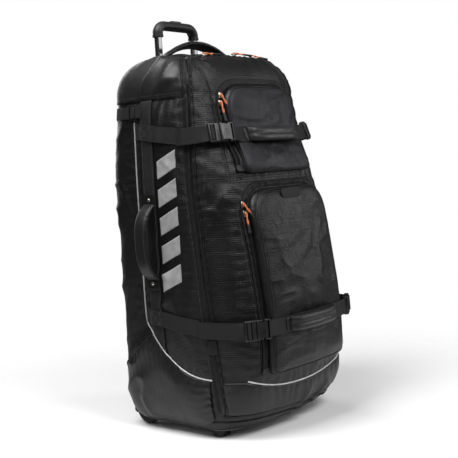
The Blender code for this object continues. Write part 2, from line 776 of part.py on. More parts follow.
def make_guard(side):
    """The coated skin over the lower side and the lower back corner."""
    rear, front = GUARD_REAR_Y, section(0.12)[2] + SIDE_RADIUS + 0.006
    columns = [rear + (front - rear) * i / 8 for i in range(9)]
    bm = bmesh.new()
    grids = []
    for lift in (GAP * 2, GAP * 2 + GUARD_THICK):
        grid = []
        for y in columns:
            top = piping_z(y) - 0.006 - PIPING_RADIUS - max(y - 0.100, 0.0) * 0.85
            low, kink = GROUND_GAP + TRUNK * STATIONS[1][0] + 0.002, GROUND_GAP + TRUNK * STATIONS[2][0]
            column = []
            for z in (low, (low + kink) / 2, kink, (kink + top) / 2, top):
                point, _ = side_point(y, z)
                out = slope_out(side_point, y, z)
                place = point + out * lift
                column.append(bm.verts.new((place.x * side, place.y, place.z)))
            grid.append(column)
        grids.append(grid)
    rows, cols = len(grids[0]), len(grids[0][0])
    for grid in grids:
        for i in range(rows - 1):
            for k in range(cols - 1):
                bm.faces.new((grid[i][k], grid[i + 1][k], grid[i + 1][k + 1], grid[i][k + 1]))
    inner, outer = grids
    border = ([(i, 0) for i in range(rows)] + [(rows - 1, k) for k in range(1, cols)]
              + [(i, cols - 1) for i in range(rows - 2, -1, -1)] + [(0, k) for k in range(cols - 2, 0, -1)])
    for (a, b), (c, d) in zip(border, border[1:] + border[:1]):
        bm.faces.new((inner[a][b], inner[c][d], outer[c][d], outer[a][b]))
    add_object(tagged("side_guard", side), bm, "coated_fabric")


def make_front_piping(parent):
    """The reflective line under the lower pocket."""
    path = []
    half = section(0.15)[3] - 0.004
    for i in range(PIPING_STEPS + 1):
        x = half * math.sin(math.pi / 2 * (-1 + 2 * i / PIPING_STEPS))
        z = 0.112 + 0.030 * abs(x / half) ** 2.4
        point, outward = front_point(abs(x), z)
        outward = Vector((outward.x * (1 if x >= 0 else -1), outward.y, 0))
        path.append(Vector((x, point.y, z)) + outward * (PIPING_RADIUS + 0.0014))
    add_object("front_piping", tube_between(path, PIPING_RADIUS), "reflective_piping", parent=parent)


# Zip sliders and pulls

def make_slider(name, at, out, up, pivot, parent):
    """A slider's body: a small block that tapers towards its nose."""
    across = up.cross(out).normalized()
    bm = box_mesh((-0.0045, 0, -0.0065), (0.0045, 0.006, 0.0065))
    for vert in bm.verts:
        narrow = 0.7 if vert.co.z < 0 else 1.0
        vert.co = at + across * (vert.co.x * narrow) + up * vert.co.z + out * vert.co.y
    return add_object(name, bm, "steel", pivot, parent)


def make_pull(name, at, down, out, length, radius, pivot, parent):
    """A cord pull with a moulded end, which hangs along the fabric."""
    across = down.cross(out).normalized()
    rings = []
    for share, size in ((0.0, 0.6), (0.04, 1.0), (0.5, 0.85), (0.62, 1.45), (0.92, 1.7), (1.0, 1.0)):
        ring = []
        for i in range(8):
            turn = 2 * math.pi * i / 8
            ring.append(at + across * (radius * size * math.cos(turn))
                        + out * (radius * size * math.sin(turn)) + down * (length * share))
        rings.append(ring)
    return add_object(name, loft(rings), "orange_pull", pivot, parent)


def zip_place(x, z):
    """The place of a pocket zip's slider: the flap's face beside the pocket."""
    point, outward = front_point(abs(x), z)
    return Vector((x, point.y, z)), Vector((outward.x * (1 if x > 0 else -1), outward.y, 0))


def make_pocket_zip(name, x, z, parent):
    place, out = zip_place(x, z)
    low, _ = zip_place(x, z - PULL_LENGTH)
    down = (low - place).normalized()
    out = (out - down * out.dot(down)).normalized()
    at = place + out * 0.0022
    slider = make_slider(f"{name}_zip_slider", at, out, -down, at, parent)
    hang = at + out * 0.0115 + down * 0.004
    make_pull(f"{name}_zip_pull", hang, down, out, PULL_LENGTH, PULL_RADIUS, hang, slider)


def make_main_slider(side):
    """The main zip's slider on the top edge, with its pull lying on it."""
    x = 0.092 * side
    z = BODY_TOP + CROWN_RISE * 0.62 + 0.008
    at = Vector((x, rim_y(BODY_TOP) - 0.006, z))
    bm = box_mesh((-0.007, -0.0045, 0), (0.007, 0.0045, 0.006))
    for vert in bm.verts:
        vert.co = vert.co + at
    slider = add_object(tagged("main_zip_slider", side), bm, "steel", at)
    pull = bmesh.new()
    bmesh.ops.create_cone(pull, cap_ends=True, segments=8, radius1=0.0034, radius2=0.0024, depth=0.030)
    for vert in pull.verts:
        vert.co = at + Vector((vert.co.z * side - 0.012 * side, vert.co.y, vert.co.x + 0.0075))
    boolean(slider, cutter(tagged("main_zip_pull_shape", side), pull), "UNION")


# Trolley

def tube_outline(size, corner=0.0035):
    """A rounded rectangle about the origin, as (x, y) pairs."""
    half_x, half_y = size[0] / 2, size[1] / 2
    points = []
    for sx, sy, start in ((1, 1, 0), (-1, 1, 90), (-1, -1, 180), (1, -1, 270)):
        for i in range(3):
            turn = math.radians(start + 45 * i)
            points.append((sx * (half_x - corner) + corner * math.cos(turn),
                           sy * (half_y - corner) + corner * math.sin(turn)))
    return points


def tube_solid(x, size, low, high, hollow=True):
    """An upright tube, open at both ends."""
    bm = bmesh.new()
    loops = []
    for shrink in ((0.0, TUBE_WALL) if hollow else (0.0,)):
        outline = tube_outline((size[0] - 2 * shrink, size[1] - 2 * shrink), 0.0035 - shrink)
        for z in (low, high):
            loops.append([bm.verts.new((x + px, TROLLEY_Y + py, z)) for px, py in outline])
    join_loops(bm, loops[0], loops[1])
    if hollow:
        join_loops(bm, loops[2], loops[3])
        join_loops(bm, loops[0], loops[2])
        join_loops(bm, loops[1], loops[3])
    else:
        bm.faces.new(loops[0])
        bm.faces.new(loops[1])
    return bm


def grown(size, by):
    return (size[0] + 2 * by, size[1] + 2 * by)


MIDDLE_TUBE = grown(INNER_TUBE, SLIDE_GAP + TUBE_WALL)
OUTER_TUBE = grown(MIDDLE_TUBE, SLIDE_GAP + TUBE_WALL)
BEZEL_TOP = GRIP_TOP - GRIP_LEG - TROLLEY_RAISED - 0.006
OUTER_TOP = BEZEL_TOP - 0.006
LEG_BOTTOM = GRIP_TOP - GRIP_LEG


def make_trolley():
    """(the slot that the bezel needs in the body)"""
    frame = add_object("trolley_frame", tube_solid(-TUBE_SPACING / 2, OUTER_TUBE,
                                                   OUTER_TOP - TUBE_LENGTH - 0.03, OUTER_TOP),
                       "steel")
    right = tube_solid(TUBE_SPACING / 2, OUTER_TUBE, OUTER_TOP - TUBE_LENGTH - 0.03, OUTER_TOP)
    boolean(frame, cutter("trolley_frame_right_tube", right), "UNION")
    reach = TUBE_SPACING / 2 + OUTER_TUBE[0] / 2 + 0.006
    low = OUTER_TOP - TUBE_LENGTH - 0.035
    for i, z in enumerate((low, low + 0.26)):
        solid_part = box_mesh((-reach, TROLLEY_Y - OUTER_TUBE[1] / 2 - 0.004, z),
                              (reach, TROLLEY_Y - OUTER_TUBE[1] / 2 + 0.0008, z + 0.028))
        boolean(frame, cutter(f"trolley_cross_plate_{i}", solid_part), "UNION")

    raised = TROLLEY_RAISED
    for side in (-1, 1):
        x = side * TUBE_SPACING / 2
        top = OUTER_TOP + 0.004 + raised / 2
        add_object(tagged("trolley_middle_tube", side),
                   tube_solid(x, MIDDLE_TUBE, top - TUBE_LENGTH, top), "gloss_tube")
        top = LEG_BOTTOM - GAP
        add_object(tagged("trolley_inner_tube", side),
                   tube_solid(x, INNER_TUBE, top - TUBE_LENGTH, top), "gloss_tube")
    make_trolley_grip()

    half = TUBE_SPACING / 2 + OUTER_TUBE[0] / 2 + 0.008
    deep = OUTER_TUBE[1] / 2 + 0.009
    bezel = add_object("trolley_bezel",
                       box_mesh((-half, TROLLEY_Y - deep, BEZEL_TOP - BEZEL_HEIGHT),
                                (half, TROLLEY_Y + deep, BEZEL_TOP)), "black_plastic")
    for side in (-1, 1):
        x = side * TUBE_SPACING / 2
        low_part = tube_solid(x, grown(OUTER_TUBE, GAP), BEZEL_TOP - BEZEL_HEIGHT - 0.01,
                              OUTER_TOP + GAP, hollow=False)
        boolean(bezel, cutter(tagged("bezel_seat", side), low_part))
        through = tube_solid(x, grown(MIDDLE_TUBE, SLIDE_GAP), BEZEL_TOP - BEZEL_HEIGHT - 0.01,
                             BEZEL_TOP + 0.01, hollow=False)
        boolean(bezel, cutter(tagged("bezel_hole", side), through))
    bevel(bezel, 0.004, 2)
    slot = box_mesh((-half - GAP, TROLLEY_Y - deep - GAP, BEZEL_TOP - BEZEL_HEIGHT - GAP),
                    (half + GAP, TROLLEY_Y + deep + GAP, BEZEL_TOP + 0.05))
    return cutter("bezel_slot", slot)


def make_trolley_grip():
    """The U-shaped grip: two legs on the tubes and a softly swollen bar between them."""
    reach = TUBE_SPACING / 2
    radius = GRIP_BEND
    path = [Vector((-reach, TROLLEY_Y, LEG_BOTTOM))]
    centre_z = GRIP_TOP - GRIP_BAR / 2
    for i in range(5):
        turn = math.radians(180 - 22.5 * i)
        path.append(Vector((-reach + radius + radius * math.cos(turn), TROLLEY_Y,
                            centre_z - radius + radius * math.sin(turn))))
    path.append(Vector((-0.018, TROLLEY_Y, centre_z)))
    path += [Vector((-p.x, p.y, p.z)) for p in reversed(path)]
    rings = []
    for i, point in enumerate(path):
        along = (path[min(i + 1, len(path) - 1)] - path[max(i - 1, 0)]).normalized()
        inward = Vector((along.z, 0, -along.x))
        swell = 1.0 + 0.14 * (1 - min(abs(point.x) / 0.035, 1.0))
        ring = []
        for k in range(12):
            turn = 2 * math.pi * (k + 0.5) / 12
            ring.append(point + inward * (GRIP_BAR / 2 * math.cos(turn))
                        + Vector((0, 0.0145 * swell * math.sin(turn), 0)))
        rings.append(ring)
    grip = add_object("trolley_grip", loft(rings), "black_plastic", (0, TROLLEY_Y, GRIP_TOP))
    pocket = box_mesh((-BUTTON_LENGTH / 2 - SLIDE_GAP, TROLLEY_Y - 0.0065 - SLIDE_GAP, GRIP_TOP - 0.010),
                      (BUTTON_LENGTH / 2 + SLIDE_GAP, TROLLEY_Y + 0.0065 + SLIDE_GAP, GRIP_TOP + 0.02))
    boolean(grip, cutter("button_pocket", pocket))
    button = add_object("release_button",
                        box_mesh((-BUTTON_LENGTH / 2, TROLLEY_Y - 0.0065, GRIP_TOP - 0.010 + BUTTON_TRAVEL + GAP),
                                 (BUTTON_LENGTH / 2, TROLLEY_Y + 0.0065, GRIP_TOP + BUTTON_TRAVEL * 0.7)),
                        "black_plastic", (0, TROLLEY_Y, GRIP_TOP))
    bevel(button, 0.0015, 2)


def make_boards():
    """The stiff boards that keep the bag upright: one on its floor, one in front of the tubes."""
    _, back, edge, _, _, _ = section(GROUND_GAP + 0.012)
    wheel_inside = WHEEL_X - WHEEL_WIDTH / 2 - WHEEL_ROOM - HOUSING_WALL - 0.002
    z = GROUND_GAP + WALL + GAP
    add_object("base_board", box_mesh((-wheel_inside, edge - 0.015, z),
                                      (wheel_inside, back - WALL - 0.030, z + BOARD_THICK)), "board")
    front = TROLLEY_Y - OUTER_TUBE[1] / 2 - 0.004 - GAP - BOARD_THICK
    low = z + BOARD_THICK + GAP
    add_object("back_board", box_mesh((-wheel_inside, front, low), (wheel_inside, front + BOARD_THICK, SHOULDER - 0.010)),
               "board")


# Wheels and feet

def make_wheel(side):
    """Wheel, axle and housing at one rear corner, and the slot that they need in the body."""
    centre = Vector((side * WHEEL_X, WHEEL_Y, WHEEL_RADIUS))
    half, edge = WHEEL_WIDTH / 2, 0.004
    tyre = ((-half, HUB_RADIUS + GAP), (-half, WHEEL_RADIUS - edge), (-half + edge, WHEEL_RADIUS),
            (half - edge, WHEEL_RADIUS), (half, WHEEL_RADIUS - edge), (half, HUB_RADIUS + GAP))
    add_object(tagged("wheel_tyre", side), ring_solid(tyre, centre), "tyre_rubber", centre)
    bore = AXLE_RADIUS + SLIDE_GAP
    hub = ((-half + 0.001, bore), (-half + 0.001, HUB_RADIUS), (half - 0.001, HUB_RADIUS),
           (half - 0.001, bore))
    add_object(tagged("wheel_hub", side), ring_solid(hub, centre), "black_plastic", centre)

    room = half + WHEEL_ROOM
    outside = room + HOUSING_WALL
    axle = loft(turned(((-outside + 0.001, AXLE_RADIUS), (outside - 0.001, AXLE_RADIUS)), centre, 12))
    add_object(tagged("wheel_axle", side), axle, "steel", centre)

    low = Vector((centre.x - outside, centre.y - WHEEL_RADIUS - 0.020, GROUND_GAP + 0.001))
    high = Vector((centre.x + outside, BACK_DEPTH - 0.002, WHEEL_RADIUS * 2 + WHEEL_ROOM + HOUSING_WALL))
    housing = add_object(tagged("wheel_housing", side), box_mesh(low, high), "black_plastic")
    bevel(housing, 0.008, 2)
    well = loft(turned(((-room, WHEEL_RADIUS + WHEEL_ROOM), (room, WHEEL_RADIUS + WHEEL_ROOM)), centre, 20))
    boolean(housing, cutter(tagged("wheel_well", side), well))
    hole = loft(turned(((-outside - 0.01, AXLE_RADIUS + GAP), (outside + 0.01, AXLE_RADIUS + GAP)), centre, 12))
    boolean(housing, cutter(tagged("axle_hole", side), hole))
    slack = Vector((GAP, GAP, GAP))
    slot = box_mesh(low - slack - Vector((0, 0, 0.02)), high + slack + Vector((0, 0.03, 0)))
    return cutter(tagged("wheel_slot", side), slot)


def make_foot(side):
    z = GROUND_GAP - 0.004 - GAP
    foot = add_object(tagged("front_foot", side),
                      box_mesh((side * FOOT_X - FOOT_SIZE[0] / 2, FOOT_Y - FOOT_SIZE[1] / 2, 0),
                               (side * FOOT_X + FOOT_SIZE[0] / 2, FOOT_Y + FOOT_SIZE[1] / 2, z)),
                      "black_plastic")
    bevel(foot, 0.003, 2)


def main():
    clear_scene()
    frame = bpy.data.objects.new("bag_frame", None)
    bpy.context.scene.collection.objects.link(frame)

    wheel_slots = [make_wheel(side) for side in (-1, 1)]
    trolley_slot = make_trolley()
    flap = make_body(trolley_slot, wheel_slots)
    make_boards()
    upper = make_pocket("upper_pocket_lid", UPPER_POCKET_WIDTH, UPPER_POCKET_BOTTOM,
                        UPPER_POCKET_HEIGHT, UPPER_POCKET_DEPTH, "twill", flap)
    lower = make_pocket("lower_pocket_lid", LOWER_POCKET_WIDTH, LOWER_POCKET_BOTTOM,
                        LOWER_POCKET_HEIGHT, LOWER_POCKET_DEPTH, "ripstop", flap)
    for name, z, x, lift, lid_half, depth, lid in (
            ("upper", UPPER_STRAP_Z, UPPER_BUCKLE_X, UPPER_BUCKLE_STAND, UPPER_POCKET_WIDTH / 2,
             UPPER_POCKET_DEPTH, upper),
            ("lower", LOWER_STRAP_Z, LOWER_BUCKLE_X, LOWER_BUCKLE_STAND, LOWER_POCKET_WIDTH / 2,
             LOWER_POCKET_DEPTH, lower)):
        make_front_straps(name, z, x, lift, lid_half, depth, lid)
        for side in (-1, 1):
            make_buckle(f"{name}_buckle", side, z, x, lift, lid)
            make_free_strap(f"{name}_strap", side, z, x, lift)
    make_front_piping(flap)
    for side in (-1, 1):
        make_side_harness(side)
        make_side_grip(side)
        make_rear_strap(side)
        make_side_piping(side)
        make_guard(side)
        make_foot(side)
        make_main_slider(side)
    make_top_grip()
    make_pocket_zip("upper", -UPPER_POCKET_WIDTH / 2 - 0.008, UPPER_POCKET_BOTTOM + UPPER_POCKET_HEIGHT - 0.041, flap)
    make_pocket_zip("lower", -LOWER_POCKET_WIDTH / 2 - 0.008, LOWER_POCKET_BOTTOM + LOWER_POCKET_HEIGHT - 0.055, flap)
    frame.location = (0, FRAME_SHIFT, 0)


main()
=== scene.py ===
import json
import math

import bmesh
import bpy
from mathutils import Matrix, Vector, noise
from mathutils.kdtree import KDTree


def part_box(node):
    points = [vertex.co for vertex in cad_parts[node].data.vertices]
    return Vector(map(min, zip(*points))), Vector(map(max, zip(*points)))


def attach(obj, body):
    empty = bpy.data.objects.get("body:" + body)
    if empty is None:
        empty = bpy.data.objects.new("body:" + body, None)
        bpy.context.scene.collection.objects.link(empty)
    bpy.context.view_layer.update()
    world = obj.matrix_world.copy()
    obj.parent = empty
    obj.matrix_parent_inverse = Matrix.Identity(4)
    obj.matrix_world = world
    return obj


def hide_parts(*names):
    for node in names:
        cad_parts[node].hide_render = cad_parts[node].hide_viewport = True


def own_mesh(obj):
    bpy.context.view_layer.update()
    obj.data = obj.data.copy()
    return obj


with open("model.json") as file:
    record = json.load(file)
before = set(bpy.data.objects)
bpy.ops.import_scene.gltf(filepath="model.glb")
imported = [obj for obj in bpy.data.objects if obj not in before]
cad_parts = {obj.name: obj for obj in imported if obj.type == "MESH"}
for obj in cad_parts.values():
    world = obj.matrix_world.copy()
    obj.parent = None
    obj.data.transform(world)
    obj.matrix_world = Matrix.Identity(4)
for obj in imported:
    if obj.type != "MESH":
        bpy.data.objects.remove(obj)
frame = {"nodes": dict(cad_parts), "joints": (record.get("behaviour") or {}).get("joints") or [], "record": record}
noise.seed_set(7)   # the same creases each run
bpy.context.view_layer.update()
print("model loaded")

cameraSetup = {"azimuth": -50.14, "elevation": 4.24, "roll": -3.54, "distance": 2.247,
               "target": (-0.010, 0.0365, 0.473), "lens": 70.25}


def placeCamera(setup):
    az, el, roll = (math.radians(setup[k]) for k in ("azimuth", "elevation", "roll"))
    back = Vector((math.sin(az) * math.cos(el), -math.cos(az) * math.cos(el), math.sin(el)))
    flat = (-back).cross(Vector((0, 0, 1))).normalized()
    top = flat.cross(-back).normalized()
    right = flat * math.cos(roll) + top * math.sin(roll)
    up = top * math.cos(roll) - flat * math.sin(roll)
    bpy.ops.object.camera_add()
    camera = bpy.context.object
    turn = Matrix((right, up, back)).transposed().to_4x4()
    camera.matrix_world = Matrix.Translation(Vector(setup["target"]) + back * setup["distance"]) @ turn
    camera.data.lens = setup["lens"]
    camera.data.sensor_width = 36
    camera.data.clip_end = 60
    bpy.context.scene.camera = camera


def addLight(name, place, aim, size, power):
    bpy.ops.object.light_add(type="AREA", location=place)
    lamp = bpy.context.object
    lamp.name = name
    lamp.data.shape = "RECTANGLE"
    lamp.data.size, lamp.data.size_y = size
    lamp.data.energy = power
    lamp.rotation_euler = (Vector(aim) - Vector(place)).to_track_quat("-Z", "Y").to_euler()


placeCamera(cameraSetup)
addLight("keyLight", (-0.4, -2.2, 2.7), (0, 0, 0.60), (1.2, 1.2), 62)
addLight("sideLight", (-2.9, -0.2, 2.0), (0, 0, 0.6), (0.5, 1.7), 6)
addLight("frontLight", (2.3, -2.2, 1.3), (0, 0, 0.50), (0.8, 1.7), 29)
addLight("topLight", (-1.1, 0.2, 2.5), (0, 0, 0.75), (1.4, 1.4), 62)
addLight("rearLight", (0.8, 2.9, 1.7), (0, 0, 0.5), (1.6, 2.0), 34)

world = bpy.data.worlds.new("paleRoom")
bpy.context.scene.world = world
world.use_nodes = True
world.node_tree.nodes["Background"].inputs["Color"].default_value = (1, 1, 1, 1)
world.node_tree.nodes["Background"].inputs["Strength"].default_value = 0.07
white = world.node_tree.nodes.new("ShaderNodeBackground")
white.inputs["Color"].default_value = (1, 1, 1, 1)
white.inputs["Strength"].default_value = 1.0
path = world.node_tree.nodes.new("ShaderNodeLightPath")
mix = world.node_tree.nodes.new("ShaderNodeMixShader")
world.node_tree.links.new(path.outputs["Is Camera Ray"], mix.inputs[0])
world.node_tree.links.new(world.node_tree.nodes["Background"].outputs[0], mix.inputs[1])
world.node_tree.links.new(white.outputs[0], mix.inputs[2])
world.node_tree.links.new(mix.outputs[0], world.node_tree.nodes["World Output"].inputs["Surface"])
bpy.context.scene.view_settings.view_transform = "Standard"


# shader maths: a socket that can be added, multiplied and so on
class Wire:
    def __init__(self, finish, socket):
        self.finish, self.socket = finish, socket

    def maths(self, operation, *values):
        return self.finish.node("ShaderNodeMath", {"operation": operation}, dict(enumerate(values)))

    def __add__(self, other):
        return self.maths("ADD", self, other)

    def __sub__(self, other):
        return self.maths("SUBTRACT", self, other)

    def __rsub__(self, other):
        return self.maths("SUBTRACT", other, self)

    def __mul__(self, other):
        return self.maths("MULTIPLY", self, other)

    def __truediv__(self, other):
        return self.maths("DIVIDE", self, other)

    def __pow__(self, other):
        return self.maths("POWER", self, other)

    __radd__, __rmul__ = __add__, __mul__

    def wave(self, pitch):
        return self.maths("SINE", self * (2 * math.pi / pitch)) * 0.5 + 0.5

    def band(self, low, high):
        return self.finish.node("ShaderNodeMapRange", {"interpolation_type": "SMOOTHSTEP"},
                                {"Value": self, "From Min": low, "From Max": high})


class Finish:
    def __init__(self, name, **values):
        self.made = bpy.data.materials.new(name)
        self.made.use_nodes = True
        self.nodes = self.made.node_tree.nodes
        self.shader = self.nodes["Principled BSDF"]
        for key, value in values.items():
            words = key[0].upper() + "".join(" " + c if c.isupper() else c for c in key[1:])
            self.paint(words.replace("Ior", "IOR"), value)

    def join(self, socket, value):
        if isinstance(value, Wire):
            self.made.node_tree.links.new(value.socket, socket)
        elif socket.type == "RGBA":
            socket.default_value = (*value, 1) if len(value) == 3 else value
        else:
            socket.default_value = value

    def node(self, kind, settings, inputs, out=0):
        made = self.nodes.new(kind)
        for key, value in settings.items():
            if key == "stops":
                ramp = made.color_ramp.elements
                while len(ramp) < len(value):
                    ramp.new(0.5)
                for stop, (place, shade) in zip(ramp, value):
                    stop.position = place
                    stop.color = (*shade, 1)
            else:
                setattr(made, key, value)
        for key, value in inputs.items():
            self.join(made.inputs[key], value)
        return Wire(self, made.outputs[out])

    def paint(self, socket, value):
        self.join(self.shader.inputs[socket], value)

    def place(self, stretch=(1, 1, 1), cloth=False):
        # metres: the cloth's own flat map, or the object's axes
        source = self.node("ShaderNodeTexCoord", {}, {}, "UV" if cloth else "Object")
        return self.node("ShaderNodeMapping", {}, {"Vector": source, "Scale": stretch})

    def parts(self, vector):
        return [self.node("ShaderNodeSeparateXYZ", {}, {"Vector": vector}, i) for i in range(3)]

    def grain(self, vector, scale, detail=3.0, rough=0.5):
        return self.node("ShaderNodeTexNoise", {}, {"Vector": vector, "Scale": scale, "Detail": detail,
                                                    "Roughness": rough}, 0)

    def blend(self, share, low, high):
        return self.node("ShaderNodeMix", {"data_type": "RGBA"},
                         {0: share, 6: low, 7: high}, 2)

    def bump(self, height, depth, strength=1.0):
        self.paint("Normal", self.node("ShaderNodeBump", {}, {"Height": height, "Distance": depth,
                                                              "Strength": strength}))


def shade(value, tint=(1, 1, 1)):
    return tuple(value * t for t in tint)


coolBlack = (0.96, 0.98, 1.06)


def ripstopFinish(name, dark, light, rough, ribPitch=0.0032):
    finish = Finish(name, SheenWeight=0.035, SheenRoughness=0.4, SpecularIorLevel=0.32)
    flat = finish.place(cloth=True)
    across, up, _ = finish.parts(flat)
    rib = up.wave(ribPitch) ** 3
    square = (across.wave(0.0052) ** 24 + up.wave(0.0052) ** 24) * 0.5
    thread = across.wave(0.0006) * up.wave(0.0006)
    solid = finish.place()
    cloud = finish.grain(solid, 9.0, 4.0)
    crease = finish.grain(finish.place((1.0, 1.0, 0.6)), 38.0, 3.0, 0.55)
    finish.paint("Base Color", finish.blend(cloud.band(0.3, 0.75), shade(dark, coolBlack),
                                            shade(light, coolBlack)))
    finish.paint("Roughness", rough + (cloud - 0.5) * 0.16 - rib * 0.05 + thread * 0.04)
    finish.bump(rib * 0.30 + square * 0.35 + thread * 0.10 + crease * 2.6, 0.0006)
    return finish.made


def twillFinish(name):
    finish = Finish(name, SheenWeight=0.04, SheenRoughness=0.4, SpecularIorLevel=0.34,
                    SpecularTint=(0.93, 0.89, 1.0, 1.0))
    across, up, _ = finish.parts(finish.place(cloth=True))
    diamond = (across + up).wave(0.0045) * (across - up).wave(0.0045)
    solid = finish.place()
    cloud = finish.grain(solid, 8.0, 4.0)
    crease = finish.grain(solid, 30.0, 3.0, 0.5)
    finish.paint("Base Color", finish.blend(diamond, shade(0.0014, coolBlack),
                                            shade(0.0105, (1.0, 0.97, 1.1))))
    finish.paint("Roughness", 0.41 + (cloud - 0.5) * 0.16 - diamond * 0.06)
    finish.bump(diamond * 0.60 + crease * 2.4, 0.0006)
    return finish.made


def coatedFinish(name, dark=0.0085, light=0.016, rough=0.40):
    finish = Finish(name, SpecularIorLevel=0.34, SheenWeight=0.03)
    solid = finish.place()
    pebble = finish.node("ShaderNodeTexVoronoi", {"feature": "SMOOTH_F1"},
                         {"Vector": solid, "Scale": 900.0, "Smoothness": 0.6})
    cloud = finish.grain(solid, 7.0, 4.0)
    crease = finish.grain(solid, 24.0, 3.0, 0.5)
    scuff = finish.grain(solid, 110.0, 5.0, 0.7).band(0.62, 0.8)
    base = finish.blend(cloud.band(0.3, 0.7), shade(dark), shade(light, (1, 1, 1.02)))
    finish.paint("Base Color", finish.blend(scuff * 0.35, base, shade(0.10)))
    finish.paint("Roughness", rough + (cloud - 0.5) * 0.12 + scuff * 0.12)
    finish.bump(pebble * 0.22 + crease * 2.2, 0.0006)
    return finish.made


def webbingFinish(name, dark=0.0045, light=0.0130):
    finish = Finish(name, SheenWeight=0.03, SpecularIorLevel=0.25)
    along, across, _ = finish.parts(finish.place(cloth=True))
    cord = across.wave(0.0022)
    chevron = (along + across.maths("PINGPONG", across, 0.0047) * 1.0).wave(0.0026)
    worn = finish.grain(finish.place(), 60.0, 4.0, 0.6)
    weave = cord * 0.55 + chevron * 0.45
    finish.paint("Base Color", finish.blend(weave * 0.8 + (worn - 0.5) * 0.5, shade(dark), shade(light)))
    finish.paint("Roughness", 0.62 + (worn - 0.5) * 0.25)
    finish.bump(weave + worn * 0.4, 0.0007, 0.9)
    return finish.made


def plasticFinish(name, tone=0.007, rough=0.36, grain=1400.0, coat=0.0):
    finish = Finish(name, SpecularIorLevel=0.4, CoatWeight=coat, CoatRoughness=0.15)
    solid = finish.place()
    grit = finish.grain(solid, grain, 2.0, 0.5)
    wear = finish.grain(solid, 45.0, 5.0, 0.65)
    scratch = finish.grain(finish.place((1.0, 1.0, 14.0)), 70.0, 3.0, 0.6).band(0.62, 0.72)
    finish.paint("Base Color", finish.blend(wear.band(0.35, 0.75) * 0.7 + scratch * 0.2, shade(tone),
                                            shade(tone * 1.8 + 0.006)))
    finish.paint("Roughness", rough + (wear - 0.5) * 0.18 + scratch * 0.10)
    finish.bump(grit * 0.5 + wear * 0.4, 0.00025)
    return finish.made


def metalFinish(name, colour, rough, brushed=(1.0, 1.0, 30.0)):
    finish = Finish(name)
    streak = finish.grain(finish.place(brushed), 160.0, 3.0, 0.6)
    spots = finish.grain(finish.place(), 60.0, 4.0, 0.6)
    finish.paint("Base Color", finish.blend(spots.band(0.3, 0.75), shade(0.82, colour), colour))
    finish.paint("Metallic", 1.0)
    finish.paint("Roughness", rough + (streak - 0.5) * 0.18 + (spots - 0.5) * 0.12)
    finish.bump(streak, 0.00012)
    return finish.made


def tubeFinish(name):
    finish = Finish(name, SpecularIorLevel=0.6, CoatWeight=0.6, CoatRoughness=0.05)
    wear = finish.grain(finish.place((1.0, 1.0, 0.12)), 260.0, 4.0, 0.6)
    rub = wear.band(0.60, 0.78)
    finish.paint("Base Color", finish.blend(rub * 0.5, shade(0.010), shade(0.045)))
    finish.paint("Roughness", 0.16 + rub * 0.20)
    finish.bump(wear, 0.00008)
    return finish.made


def pipingFinish(name):
    finish = Finish(name, SpecularIorLevel=0.6)
    solid = finish.place()
    bead = finish.grain(solid, 1500.0, 2.0)
    dull = finish.grain(solid, 50.0, 4.0, 0.6)
    finish.paint("Base Color", finish.blend(dull.band(0.35, 0.8), shade(0.56, (1, 1, 1.02)), shade(0.40)))
    finish.paint("Roughness", 0.38 + (dull - 0.5) * 0.2)
    finish.paint("Metallic", 0.25)
    finish.bump(bead, 0.00015)
    return finish.made


def cordFinish(name, dark, light):
    finish = Finish(name, SheenWeight=0.3)
    solid = finish.place()
    x, _, z = finish.parts(solid)
    twist = (z + x * 0.8).wave(0.0022) * (z - x * 0.8).wave(0.0022)
    soil = finish.grain(solid, 120.0, 3.0, 0.6)
    finish.paint("Base Color", finish.blend(twist * 0.7 + (soil - 0.5) * 0.6, dark, light))
    finish.paint("Roughness", 0.6 + (soil - 0.5) * 0.2)
    finish.bump(twist, 0.0004)
    return finish.made


def rubberFinish(name):
    finish = Finish(name, SpecularIorLevel=0.35)
    solid = finish.place()
    dust = finish.grain(solid, 55.0, 5.0, 0.65)
    grit = finish.grain(solid, 900.0, 2.0)
    finish.paint("Base Color", finish.blend(dust.band(0.45, 0.8), shade(0.016),
                                            shade(0.075, (1.04, 1.0, 0.95))))
    finish.paint("Roughness", 0.78 + (dust - 0.5) * 0.2)
    finish.bump(grit * 0.4 + dust * 0.6, 0.0003)
    return finish.made


def liningFinish(name):
    finish = Finish(name, SheenWeight=0.1, SpecularIorLevel=0.4)
    across, up, _ = finish.parts(finish.place(cloth=True))
    cloud = finish.grain(finish.place(), 12.0, 4.0)
    weave = across.wave(0.0012) * up.wave(0.0012)
    finish.paint("Base Color", finish.blend(cloud.band(0.3, 0.7), shade(0.055, (0.97, 1, 1.05)),
                                            shade(0.085, (0.97, 1, 1.05))))
    finish.paint("Roughness", 0.62 + (cloud - 0.5) * 0.15)
    finish.bump(weave * 0.25 + cloud * 3.0, 0.0006)
    return finish.made


def floorFinish(name):
    finish = Finish(name, SpecularIorLevel=0.2)
    dust = finish.grain(finish.place(), 3.0, 3.0)
    x, y, _ = finish.parts(finish.place())
    reach = (x * x + y * y) ** 0.5
    finish.paint("Base Color", finish.blend(dust, shade(0.90), shade(0.93)))
    finish.paint("Roughness", 0.85 + (dust - 0.5) * 0.1)
    finish.paint("Alpha", 1 - reach.band(0.45, 1.25))
    return finish.made


def printFinish(name):
    finish = Finish(name, SpecularIorLevel=0.5)
    solid = finish.place()
    dull = finish.grain(solid, 60.0, 4.0, 0.6)
    bead = finish.grain(solid, 1400.0, 2.0)
    finish.paint("Base Color", finish.blend(dull.band(0.3, 0.75), shade(0.30), shade(0.40)))
    finish.paint("Roughness", 0.42 + (dull - 0.5) * 0.2)
    finish.bump(bead, 0.0001)
    return finish.made


